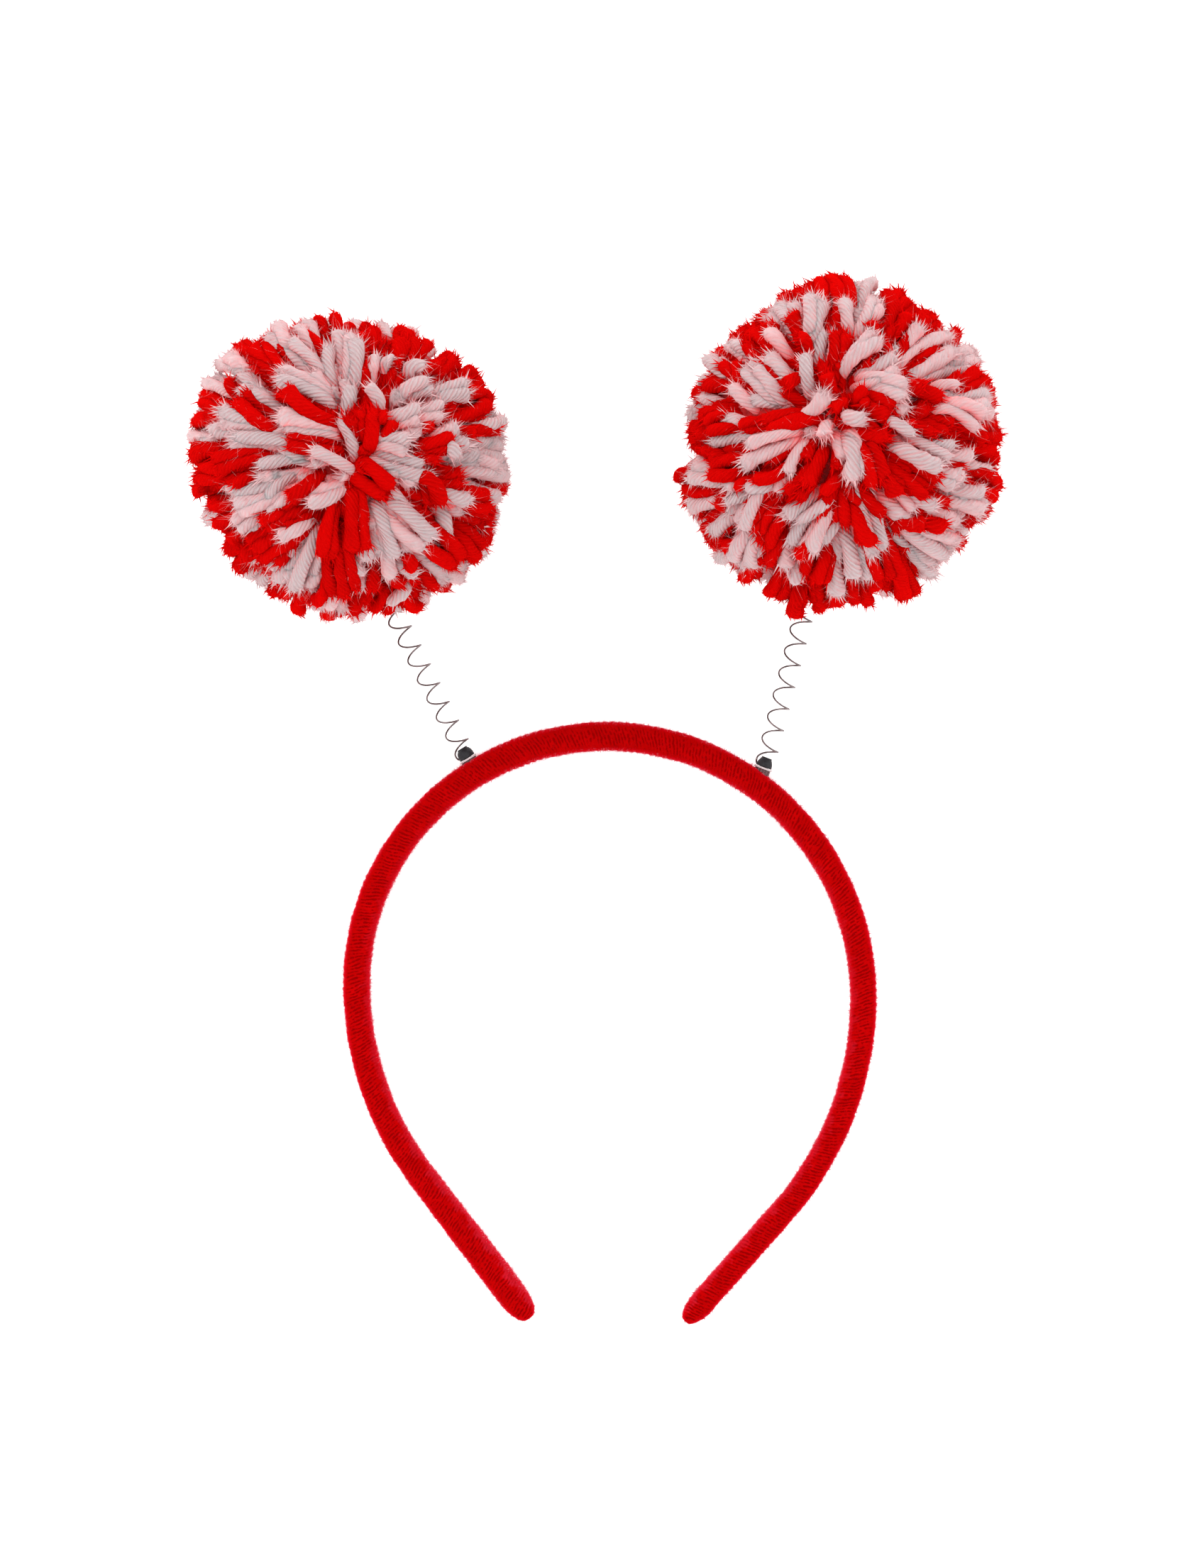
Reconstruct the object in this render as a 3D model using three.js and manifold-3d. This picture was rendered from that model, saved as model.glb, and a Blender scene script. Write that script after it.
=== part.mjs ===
// A head bopper lying flat: a velvet-covered headband that carries two yarn pompoms on wire springs.
// Millimetres, +Z up. The band's plane is level, the crown and the pompoms are towards +Y, and the
// origin is below the middle of the whole thing, on the surface that it lies on.
import * as THREE from "three";
import { mergeVertices } from "three/addons/utils/BufferGeometryUtils.js";
import Module from "manifold-3d";

// Headband, along its centreline in plan. Its two sides aren't quite alike: the crown's top stands left of
// the middle, and the left side is widest a little higher than the right one.
const BAND_HALF_WIDTH = 62.2;
const CROWN_RISE = 64.2;
const CROWN_TOP_OFFSET = -0.8;
const LEFT_WIDEST_RISE = 3.5;
const LEFT_CURL_RADIUS = 78;
const LEFT_CURL_TURN = 37.3;
const LEFT_LEG_LENGTH = 43.8;
const RIGHT_CURL_RADIUS = 79.5;
const RIGHT_CURL_TURN = 41.5;
const RIGHT_LEG_LENGTH = 35.8;

// Headband, across its padded cover
const BAND_THICKNESS = 7;
const BAND_DEPTH = 8.4;
const BAND_SQUARENESS = 2.5;
const BAND_SIDES = 12;
const BAND_STEPS = 46;
const TIP_LENGTH = 7.5;
const TIP_BLUNTNESS = 0.2;

// The cover is fuller in some places than others: shares of the thickness, from the left tip to the right
const COVER_FULLNESS = [
  { along: 0, share: 1.06 },
  { along: 0.06, share: 1.05 },
  { along: 0.13, share: 0.98 },
  { along: 0.24, share: 0.94 },
  { along: 0.36, share: 0.97 },
  { along: 0.5, share: 1.02 },
  { along: 0.63, share: 0.97 },
  { along: 0.76, share: 0.92 },
  { along: 0.86, share: 0.88 },
  { along: 1, share: 0.88 },
];

// Cap: a domed plug with a small top disc, whose shank reaches down to the band's cover
const CAP_RADIUS = 2;
const CAP_DISC_RADIUS = 1.3;
const CAP_DISC_THICKNESS = 0.3;
const SHANK_RADIUS = 1.05;
const CAP_GAP = 0.15;
const CAP_SIDES = 14;

// Seat: a fluted skirt under a thin flange, which stands on the band's outer face and holds the shank
const FLANGE_RIM = 0.3;
const FLANGE_THICKNESS = 0.4;
const SKIRT_WALL = 0.75;
const SKIRT_DEPTH = 1.4;
const FLUTE_DEPTH = 0.25;
const FLUTE_COUNT = 14;
const COVER_GAP = 0.3;

// Spring: a wire whose first turn grips the cap's dome and whose last turns stand in the pompom
const WIRE_RADIUS = 0.225;
const GRIP_GAP = 0.125;
const GRIP_HEIGHT = 1.6;
const SOCKET_DEPTH = 12;
const COIL_GAP = 0.3;
const WIRE_SIDES = 5;
const STEPS_PER_TURN = 12;
const SOCKET_SIDES = 10;

// Pompom: locks of yarn round a ball, a little flattened where it rests
const LOCK_COUNT = 76;
const LOCK_ROOT_RADIUS = 3.5;
const LOCK_RADIUS = 6.6;
const LOCK_TIP_LENGTH = 2.2;
const LOCK_RELIEF = 6;
const LOCK_SIDES = 5;
const LOCK_SPREAD = 0.14;
const LOCK_UNEVENNESS = 0.03;
const REST_FLATTENING = 2;

// Each antenna: where it stands on the crown, how far its flange stands off the cover, its cap's height and
// squareness, its spring's pitch, and the reach from the spring's foot to the pompom. The leans are outwards
// from +Y in plan and springRise is up from level, in degrees. The outline is the pompom's in plan, a share
// of its radius every 30 degrees anticlockwise from +X.
const LEFT = {
  name: "left",
  outward: -1,
  standAngle: 31.4,
  flangeStandoff: 0.25,
  capLean: 31.5,
  capHeight: 2.7,
  capSquareness: 4,
  springLean: 26.2,
  springRise: 20.5,
  springPitch: 5.4,
  pompomLean: 21.3,
  pompomReach: 42.2,
  pompomRadius: 38.5,
  seed: 7,
  outline: [1.01, 1.01, 0.96, 0.95, 1, 1.05, 1.01, 0.97, 0.97, 1, 1.03, 1.03],
};
const RIGHT = {
  name: "right",
  outward: 1,
  standAngle: 34.9,
  flangeStandoff: 0.8,
  capLean: 21,
  capHeight: 2.4,
  capSquareness: 2,
  springLean: 13.6,
  springRise: 21.5,
  springPitch: 5.8,
  pompomLean: 11.9,
  pompomReach: 42.5,
  pompomRadius: 40.5,
  seed: 19,
  outline: [1, 1.01, 1.01, 1.03, 0.98, 0.97, 0.98, 1.02, 1.03, 1, 0.99, 0.98],
};

const BORE_RADIUS = SHANK_RADIUS + CAP_GAP;
const COIL_RADIUS = CAP_RADIUS + GRIP_GAP + WIRE_RADIUS;

// The crown's left and right quarters: ellipses that meet at its top
const CROWN_QUARTERS = [
  { outward: -1, rise: LEFT_WIDEST_RISE, reach: BAND_HALF_WIDTH + CROWN_TOP_OFFSET },
  { outward: 1, rise: 0, reach: BAND_HALF_WIDTH - CROWN_TOP_OFFSET },
];

const MATERIALS = {
  velvet: { color: 0xb90305, roughness: 0.95, metalness: 0 },
  plastic: { color: 0x38353a, roughness: 0.45, metalness: 0 },
  clearPlastic: { color: 0xd8bcbc, roughness: 0.25, metalness: 0 },
  wire: { color: 0xb7b0b0, roughness: 0.3, metalness: 1 },
  yarn: { color: 0xc01a1c, roughness: 1, metalness: 0 },
};

const wasm = await Module();
wasm.setup();
const radians = THREE.MathUtils.degToRad;

/** A closed three.js geometry as a manifold-3d solid. */
function solidOf(geometry) {
  const bare = geometry.index ? geometry.toNonIndexed() : geometry.clone();
  bare.deleteAttribute("normal");
  bare.deleteAttribute("uv");
  const merged = mergeVertices(bare, 1e-4);
  return new wasm.Manifold(
    new wasm.Mesh({
      numProp: 3,
      vertProperties: merged.attributes.position.array,
      triVerts: new Uint32Array(merged.index.array),
    }),
  );
}

/** A manifold-3d solid as a three.js geometry with flat faces. */
function geometryOf(solid) {
  const mesh = solid.getMesh();
  const geometry = new THREE.BufferGeometry()
    .setAttribute("position", new THREE.BufferAttribute(mesh.vertProperties, 3))
    .setIndex(new THREE.BufferAttribute(mesh.triVerts, 1));
  const flat = geometry.toNonIndexed();
  flat.computeVertexNormals();
  return flat;
}

/** A named mesh in one of the part's materials. */
function piece(name, geometry, material) {
  const mesh = new THREE.Mesh(geometry, new THREE.MeshStandardMaterial(MATERIALS[material]));
  mesh.name = name;
  return mesh;
}

/** Numbers from 0 to 1 that are the same at every run. */
function seededRandom(seed) {
  let state = seed;
  return () => {
    state = (state + 0x6d2b79f5) | 0;
    let mixed = Math.imul(state ^ (state >>> 15), 1 | state);
    mixed = (mixed + Math.imul(mixed ^ (mixed >>> 7), 61 | mixed)) ^ mixed;
    return ((mixed ^ (mixed >>> 14)) >>> 0) / 4294967296;
  };
}

/** One side of the band in plan, outwards being -1 or 1: where it is widest, its curl and its leg. */
function bandSide(outward, rise, radius, turnDegrees, legLength) {
  const turn = radians(turnDegrees);
  const curlCentre = new THREE.Vector2(outward * (BAND_HALF_WIDTH - radius), rise);
  const curlEnd = new THREE.Vector2(outward * radius * Math.cos(turn), -radius * Math.sin(turn));
  const leg = new THREE.Vector2(-outward * Math.sin(turn), -Math.cos(turn)).multiplyScalar(legLength);
  curlEnd.add(curlCentre);
  return { turn, radius, curlCentre, curlEnd, tip: curlEnd.clone().add(leg) };
}

/** The band's centreline in plan: left leg, left curl, the crown's two quarters, right curl, right leg. */
function bandPath() {
  const left = bandSide(-1, LEFT_WIDEST_RISE, LEFT_CURL_RADIUS, LEFT_CURL_TURN, LEFT_LEG_LENGTH);
  const right = bandSide(1, 0, RIGHT_CURL_RADIUS, RIGHT_CURL_TURN, RIGHT_LEG_LENGTH);
  const path = new THREE.Path();
  path.moveTo(left.tip.x, left.tip.y);
  path.lineTo(left.curlEnd.x, left.curlEnd.y);
  path.absarc(left.curlCentre.x, left.curlCentre.y, left.radius, Math.PI + left.turn, Math.PI, true);
  for (const side of CROWN_QUARTERS) {
    const [from, to] = side.outward < 0 ? [Math.PI, Math.PI / 2] : [Math.PI / 2, 0];
    path.absellipse(CROWN_TOP_OFFSET, side.rise, side.reach, CROWN_RISE - side.rise, from, to, true);
  }
  path.absarc(right.curlCentre.x, right.curlCentre.y, right.radius, 0, -right.turn, true);
  path.lineTo(right.tip.x, right.tip.y);
  return path;
}

/** How full the cover is at a share of the band's length, read from the table. */
function fullnessAt(along) {
  const last = COVER_FULLNESS.findIndex((row) => row.along >= along);
  if (last <= 0) return COVER_FULLNESS[0].share;
  const [before, after] = COVER_FULLNESS.slice(last - 1, last + 1);
  const between = (along - before.along) / (after.along - before.along);
  return THREE.MathUtils.lerp(before.share, after.share, between);
}

/** How much of the section is left near a tip, at a distance from it along the band. */
function tipShare(distance) {
  const inTip = Math.min(1, distance / TIP_LENGTH);
  const round = Math.sqrt(1 - (1 - inTip) ** 2);
  return TIP_BLUNTNESS + (1 - TIP_BLUNTNESS) * round;
}

/** The band's section as unit points, flat where it lies on the surface and on top. */
function bandSection() {
  const half = Math.PI / BAND_SIDES;
  const softened = (value) => Math.sign(value) * Math.abs(value) ** (2 / BAND_SQUARENESS);
  const points = [];
  for (let i = 0; i < BAND_SIDES; i++) {
    const angle = half + 2 * half * i;
    points.push(new THREE.Vector2(softened(Math.cos(angle)), softened(Math.sin(angle))));
  }
  const reach = Math.max(...points.map((point) => point.y));
  return points.map((point) => point.divideScalar(reach));
}

/** A closed body through rings of equally many points. */
function loft(rings) {
  const sides = rings[0].length;
  const middle = (ring) => {
    const sum = ring.reduce((total, point) => total.add(point), new THREE.Vector3());
    return sum.divideScalar(sides);
  };
  const first = middle(rings[0]);
  const last = middle(rings[rings.length - 1]);
  const triangles = [];
  for (let side = 0; side < sides; side++) {
    const next = (side + 1) % sides;
    triangles.push(first, rings[0][next], rings[0][side]);
    for (let row = 0; row < rings.length - 1; row++) {
      const [here, there] = [rings[row], rings[row + 1]];
      triangles.push(here[side], here[next], there[next]);
      triangles.push(here[side], there[next], there[side]);
    }
    triangles.push(last, rings[rings.length - 1][side], rings[rings.length - 1][next]);
  }
  return new THREE.BufferGeometry().setFromPoints(triangles);
}

/** Shares of the band's length where a ring stands: even steps, and closer ones round each tip. */
function ringPlaces(length) {
  const tipSteps = [0, 0.03, 0.12, 0.3, 0.6, 1];
  const tip = TIP_LENGTH / length;
  const places = tipSteps.map((step) => step * tip);
  for (let step = 1; step < BAND_STEPS; step++) places.push(tip + ((1 - 2 * tip) * step) / BAND_STEPS);
  tipSteps.reverse().forEach((step) => places.push(1 - step * tip));
  return places;
}

/** The headband, or with a clearance the room that its neighbours keep round it. */
function bandGeometry(path, clearance = 0) {
  const length = path.getLength();
  const section = bandSection();
  const rings = ringPlaces(length).map((along) => {
    const share = tipShare(Math.min(along, 1 - along) * length);
    const middle = path.getPointAt(along);
    const tangent = path.getTangentAt(along);
    const halfThick = (BAND_THICKNESS / 2) * fullnessAt(along) * share + clearance;
    const halfDeep = (BAND_DEPTH / 2) * share + clearance;
    return section.map(
      (point) =>
        new THREE.Vector3(
          middle.x - tangent.y * halfThick * point.x,
          middle.y + tangent.x * halfThick * point.x,
          BAND_DEPTH / 2 + halfDeep * point.y,
        ),
    );
  });
  return loft(rings);
}

/** The place on the band's outer face where an antenna stands, half way up the band. */
function standPoint(side, path) {
  const quarter = CROWN_QUARTERS.find(({ outward }) => outward === side.outward);
  const angle = radians(side.standAngle);
  const height = CROWN_RISE - quarter.rise;
  const onCentreline = new THREE.Vector2(
    CROWN_TOP_OFFSET + side.outward * quarter.reach * Math.sin(angle),
    quarter.rise + height * Math.cos(angle),
  );
  const outwards = new THREE.Vector2(
    side.outward * height * Math.sin(angle),
    quarter.reach * Math.cos(angle),
  ).normalize();
  const along = nearestShare(path, onCentreline);
  onCentreline.addScaledVector(outwards, (BAND_THICKNESS / 2) * fullnessAt(along));
  return new THREE.Vector3(onCentreline.x, onCentreline.y, BAND_DEPTH / 2);
}

/** The share of a path's length that lies nearest to a point. */
function nearestShare(path, point) {
  const steps = 400;
  const places = Array.from({ length: steps + 1 }, (_, step) => step / steps);
  const distances = places.map((place) => path.getPointAt(place).distanceTo(point));
  return places[distances.indexOf(Math.min(...distances))];
}

/** The group that holds a seat and a cap: its +Y is the cap's own axis. */
function standGroup(side, path) {
  const group = new THREE.Group();
  group.position.copy(standPoint(side, path));
  group.rotation.z = -side.outward * radians(side.capLean);
  group.updateMatrix();
  return group;
}

/** An upright prism on +Y from an outline with a round bore. */
function boredPrism(outline, length) {
  outline.holes.push(new THREE.Path().absarc(0, 0, BORE_RADIUS, 0, 2 * Math.PI, true));
  const prism = new THREE.ExtrudeGeometry(outline, {
    depth: length,
    bevelEnabled: false,
    curveSegments: CAP_SIDES / 2,
  });
  return prism.rotateX(-Math.PI / 2);
}

/** The seat: a fluted skirt under a round flange, cut to the band's outer face. */
function seatGeometry(side, group, path) {
  const flutes = new THREE.Shape();
  for (let i = 0; i < 2 * FLUTE_COUNT; i++) {
    const angle = (Math.PI * i) / FLUTE_COUNT;
    const radius = BORE_RADIUS + SKIRT_WALL - (i % 2) * FLUTE_DEPTH;
    const point = [radius * Math.cos(angle), radius * Math.sin(angle)];
    if (i) flutes.lineTo(...point);
    else flutes.moveTo(...point);
  }
  const round = new THREE.Shape().absarc(0, 0, CAP_RADIUS + FLANGE_RIM, 0, 2 * Math.PI, false);
  const skirt = boredPrism(flutes, SKIRT_DEPTH + side.flangeStandoff + FLANGE_THICKNESS / 2);
  skirt.translate(0, -SKIRT_DEPTH, 0);
  const flange = boredPrism(round, FLANGE_THICKNESS).translate(0, side.flangeStandoff, 0);
  const room = bandGeometry(path, COVER_GAP).applyMatrix4(group.matrix.clone().invert());
  return geometryOf(solidOf(skirt).add(solidOf(flange)).subtract(solidOf(room)));
}

/** The height of a cap's foot over the band's outer face. */
function capFoot(side) {
  return side.flangeStandoff + FLANGE_THICKNESS + CAP_GAP;
}

/** The cap, with its foot just above the flange: a dome between its foot and its disc. */
function capGeometry(side) {
  const domeHeight = side.capHeight - CAP_DISC_THICKNESS;
  const shankEnd = CAP_GAP - capFoot(side);
  const profile = [
    [0, shankEnd],
    [SHANK_RADIUS, shankEnd],
    [SHANK_RADIUS, 0],
    [CAP_RADIUS, 0],
  ];
  for (const up of [0.4, 0.65, 0.85]) {
    const reach = (CAP_RADIUS - CAP_DISC_RADIUS) * (1 - up ** side.capSquareness);
    profile.push([CAP_DISC_RADIUS + reach, up * domeHeight]);
  }
  profile.push([CAP_DISC_RADIUS, domeHeight], [CAP_DISC_RADIUS, side.capHeight], [0, side.capHeight]);
  const points = profile.map(([radius, height]) => new THREE.Vector2(radius, height));
  return new THREE.LatheGeometry(points, CAP_SIDES).translate(0, capFoot(side), 0);
}

/** The middle of a pompom that rests on the surface, at its reach and lean from the spring's foot. */
function pompomCentre(side, foot) {
  const height = side.pompomRadius - REST_FLATTENING;
  const level = Math.sqrt((side.pompomReach + side.pompomRadius) ** 2 - (height - foot.z) ** 2);
  const lean = radians(side.pompomLean);
  return new THREE.Vector3(
    foot.x + side.outward * level * Math.sin(lean),
    foot.y + level * Math.cos(lean),
    height,
  );
}

/** The coil's straight axis, from the spring's foot to its socket's bottom in the pompom. */
function coilAxis(side, foot, centre) {
  const lean = radians(side.springLean);
  const rise = radians(side.springRise);
  const direction = new THREE.Vector3(
    side.outward * Math.sin(lean) * Math.cos(rise),
    Math.cos(lean) * Math.cos(rise),
    Math.sin(rise),
  );
  const toCentre = centre.clone().sub(foot);
  const nearest = toCentre.dot(direction);
  const besides = toCentre.lengthSq() - nearest ** 2;
  const surface = nearest - Math.sqrt(side.pompomRadius ** 2 - besides);
  return new THREE.LineCurve3(foot, foot.clone().addScaledVector(direction, surface + SOCKET_DEPTH));
}

/** A left-handed coil round a straight axis, up to a small gap before the axis ends. */
class Coil extends THREE.Curve {
  constructor(axis, pitch) {
    super();
    this.start = axis.v1;
    this.along = axis.v2.clone().sub(axis.v1);
    this.length = this.along.length() - COIL_GAP;
    this.along.normalize();
    this.across = this.along.clone().cross(new THREE.Vector3(0, 0, 1)).normalize();
    this.upwards = this.across.clone().cross(this.along);
    this.turns = this.length / pitch;
    this.arcLengthDivisions = 400;
  }

  getPoint(share) {
    const turn = Math.PI * (2 * this.turns * share - 1);
    return this.start
      .clone()
      .addScaledVector(this.along, this.length * share)
      .addScaledVector(this.across, COIL_RADIUS * Math.cos(turn))
      .addScaledVector(this.upwards, COIL_RADIUS * Math.sin(turn));
  }
}

/** A round section with a number of sides, as a shape to sweep. */
function roundSection(radius, sides) {
  const points = [];
  for (let i = 0; i < sides; i++) {
    const angle = (2 * Math.PI * i) / sides;
    points.push(new THREE.Vector2(radius * Math.cos(angle), radius * Math.sin(angle)));
  }
  return new THREE.Shape(points);
}

/** A tube of a section along a path. */
function sweep(section, path, steps) {
  return new THREE.ExtrudeGeometry(section, { steps, bevelEnabled: false, extrudePath: path });
}

/** A pompom's outline in a direction in plan, as a share of its radius. */
function outlineShare(side, azimuth) {
  const place = THREE.MathUtils.euclideanModulo(azimuth / (2 * Math.PI), 1) * side.outline.length;
  const before = Math.floor(place) % side.outline.length;
  const after = (before + 1) % side.outline.length;
  return THREE.MathUtils.lerp(side.outline[before], side.outline[after], place % 1);
}

/** One lock of yarn on +Y, which widens from inside the ball and ends in a low point. */
function lockGeometry(length) {
  const profile = [
    [0, length / 2],
    [LOCK_ROOT_RADIUS, length / 2],
    [LOCK_RADIUS, length - LOCK_TIP_LENGTH],
    [0, length],
  ];
  const points = profile.map(([radius, height]) => new THREE.Vector2(radius, height));
  return new THREE.LatheGeometry(points, LOCK_SIDES);
}

/** The locks of a pompom, spread evenly over the ball and then a little out of order. */
function pompomLocks(side) {
  const random = seededRandom(side.seed);
  const goldenAngle = Math.PI * (3 - Math.sqrt(5));
  const locks = [];
  for (let i = 0; i < LOCK_COUNT; i++) {
    const height = 1 - (2 * i + 1) / LOCK_COUNT;
    const level = Math.sqrt(1 - height ** 2);
    const azimuth = goldenAngle * i;
    const direction = new THREE.Vector3(level * Math.cos(azimuth), level * Math.sin(azimuth), height);
    const loose = new THREE.Vector3(random() - 0.5, random() - 0.5, random() - 0.5);
    direction.addScaledVector(loose, LOCK_SPREAD).normalize();
    const outline = 1 + (outlineShare(side, azimuth) - 1) * level;
    const uneven = 1 + LOCK_UNEVENNESS * (2 * random() - 1);
    const turn = new THREE.Quaternion().setFromUnitVectors(new THREE.Vector3(0, 1, 0), direction);
    const lock = lockGeometry(side.pompomRadius * outline * uneven);
    lock.rotateY(random() * Math.PI).applyQuaternion(turn);
    locks.push(lock);
  }
  return locks;
}

/** A pompom about its own middle: ball and locks in one, flat below, with a socket for the spring. */
function pompomGeometry(side, centre, axis) {
  const ball = new THREE.IcosahedronGeometry(side.pompomRadius - LOCK_RELIEF, 2);
  const solids = [ball, ...pompomLocks(side)].map(solidOf);
  const whole = wasm.Manifold.union(solids);
  const size = 4 * side.pompomRadius;
  const surface = new THREE.BoxGeometry(size, size, size);
  surface.translate(0, 0, REST_FLATTENING - side.pompomRadius - size / 2);
  const socket = sweep(roundSection(COIL_RADIUS + WIRE_RADIUS + COIL_GAP, SOCKET_SIDES), axis, 1);
  socket.translate(-centre.x, -centre.y, -centre.z);
  return geometryOf(whole.subtract(solidOf(surface)).subtract(solidOf(socket)));
}

/** One antenna: seat, cap, spring and pompom. */
function antenna(side, path) {
  const group = standGroup(side, path);
  const seat = piece(`${side.name}_seat`, seatGeometry(side, group, path), "clearPlastic");
  const cap = piece(`${side.name}_cap`, capGeometry(side), "plastic");
  group.add(seat, cap);
  const foot = new THREE.Vector3(0, capFoot(side) + GRIP_HEIGHT, 0).applyMatrix4(group.matrix);
  const centre = pompomCentre(side, foot);
  const axis = coilAxis(side, foot, centre);
  const coil = new Coil(axis, side.springPitch);
  const steps = Math.round(coil.turns * STEPS_PER_TURN);
  const wire = sweep(roundSection(WIRE_RADIUS, WIRE_SIDES), coil, steps);
  const pompom = piece(`${side.name}_pompom`, pompomGeometry(side, centre, axis), "yarn");
  pompom.position.copy(centre);
  return new THREE.Group().add(group, piece(`${side.name}_spring`, wire, "wire"), pompom);
}

/** The whole head bopper, with the origin below the middle of its bounding box. */
function headBopper() {
  const path = bandPath();
  path.arcLengthDivisions = 800;
  const inside = new THREE.Group();
  inside.add(piece("headband", bandGeometry(path), "velvet"));
  inside.add(antenna(LEFT, path), antenna(RIGHT, path));
  const box = new THREE.Box3().setFromObject(inside, true);
  const middle = box.getCenter(new THREE.Vector3());
  inside.position.set(-middle.x, -middle.y, -box.min.z);
  return new THREE.Group().add(inside);
}

export default headBopper();
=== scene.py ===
"""Looks of the head bopper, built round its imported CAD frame.

A velvet headband lies on a pale floor with two springs that each carry a pompom of red and white yarn.
Sizes in the classes are millimetres in the part's own frame, and every mesh is in metres.
"""

import logging
import math
from dataclasses import dataclass, field
from enum import Enum

import bmesh
import bpy
import numpy as np
from mathutils import Matrix, Vector


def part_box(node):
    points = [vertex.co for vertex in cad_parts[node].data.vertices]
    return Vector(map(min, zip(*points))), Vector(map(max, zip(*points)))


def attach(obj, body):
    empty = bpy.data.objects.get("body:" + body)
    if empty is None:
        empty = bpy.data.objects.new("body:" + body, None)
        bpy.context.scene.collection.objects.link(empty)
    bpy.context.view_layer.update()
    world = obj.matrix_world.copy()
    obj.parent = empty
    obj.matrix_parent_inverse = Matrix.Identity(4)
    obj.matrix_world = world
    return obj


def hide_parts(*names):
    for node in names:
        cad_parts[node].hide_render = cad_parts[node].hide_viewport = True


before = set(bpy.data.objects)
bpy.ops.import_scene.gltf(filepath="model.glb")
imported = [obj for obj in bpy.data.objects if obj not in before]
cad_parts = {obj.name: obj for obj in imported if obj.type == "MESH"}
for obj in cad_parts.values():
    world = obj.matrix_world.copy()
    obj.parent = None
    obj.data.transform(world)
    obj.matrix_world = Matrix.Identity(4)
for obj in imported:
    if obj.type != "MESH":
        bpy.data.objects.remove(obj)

MM = 0.001
BODY = "root"
PHOTO_WIDTH = 1680
PHOTO_HEIGHT = 2210
GOLDEN_ANGLE = math.pi * (3 - math.sqrt(5))

log = logging.getLogger("head_bopper")

Colour = tuple[float, float, float]
Faces = list[tuple[int, ...]]


class Yarn(Enum):
    """The two yarns that a pompom is wound from."""

    RED = "red"
    WHITE = "white"


class Slot(Enum):
    """The record's material slots."""

    VELVET = "velvet"
    PLASTIC = "plastic"
    CLEAR_PLASTIC = "clear_plastic"
    WIRE = "wire"
    YARN = "yarn"


# Meshes and node trees


class Tree:
    """A node tree being built, with short calls that add nodes and join them."""

    def __init__(self, tree: bpy.types.NodeTree) -> None:
        """Starts on an empty tree."""
        self.tree = tree
        tree.nodes.clear()

    def add(self, kind: str, inputs: dict | None = None, **settings: object) -> bpy.types.Node:
        """Adds a node.

        Args:
            kind: the node's type name.
            inputs: a value or an output socket for each input, by name or number.
            settings: the node's own properties.

        Returns:
            The new node.
        """
        node = self.tree.nodes.new(kind)
        for name, value in settings.items():
            setattr(node, name, value)
        for key, value in (inputs or {}).items():
            self.join(value, node.inputs[key])
        return node

    def join(self, value: object, socket: bpy.types.NodeSocket) -> None:
        """Links an output socket to an input socket, or sets the input's value."""
        if isinstance(value, bpy.types.NodeSocket):
            self.tree.links.new(value, socket)
        else:
            socket.default_value = value

    def math(self, operation: str, first: object, second: object = 0.0) -> bpy.types.NodeSocket:
        """A Math node's result on two values or sockets."""
        return self.add("ShaderNodeMath", {0: first, 1: second}, operation=operation).outputs[0]

    def attribute(self, name: str) -> bpy.types.Node:
        """A shader's Attribute node for a named attribute of the mesh."""
        return self.add("ShaderNodeAttribute", attribute_name=name)

    def ramp(self, factor: object, stops: list[tuple[float, Colour]]) -> bpy.types.NodeSocket:
        """A colour ramp.

        Args:
            factor: the value or socket that the ramp reads.
            stops: each stop's place and colour, in order.

        Returns:
            The ramp's colour socket.
        """
        node = self.add("ShaderNodeValToRGB", {0: factor})
        elements = node.color_ramp.elements
        while len(elements) < len(stops):
            elements.new(0.5)
        for element, (place, colour) in zip(elements, stops):
            element.position = place
            element.color = (*colour, 1)
        return node.outputs[0]

    def mix(self, factor: object, first: object, second: object, blend: str = "MIX") -> bpy.types.NodeSocket:
        """A colour mix of two colours or sockets."""
        inputs = {0: factor, 6: opaque(first), 7: opaque(second)}
        return self.add("ShaderNodeMix", inputs, data_type="RGBA", blend_type=blend).outputs[2]


def opaque(colour: object) -> object:
    """A colour with its alpha, or a socket as it is."""
    return (*colour, 1) if isinstance(colour, tuple) and len(colour) == 3 else colour


def geometry_tree(name: str, sockets: dict[str, str]) -> tuple[Tree, bpy.types.Node, bpy.types.Node]:
    """An empty geometry tree with a Geometry input and output and named inputs.

    Args:
        name: the tree's name.
        sockets: the type of each named input.

    Returns:
        The tree, its input node and its output node.
    """
    group = bpy.data.node_groups.new(name, "GeometryNodeTree")
    group.interface.new_socket(name="Geometry", in_out="INPUT", socket_type="NodeSocketGeometry")
    for label, kind in sockets.items():
        group.interface.new_socket(name=label, in_out="INPUT", socket_type=kind)
    group.interface.new_socket(name="Geometry", in_out="OUTPUT", socket_type="NodeSocketGeometry")
    tree = Tree(group)
    return tree, tree.add("NodeGroupInput"), tree.add("NodeGroupOutput")


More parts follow.
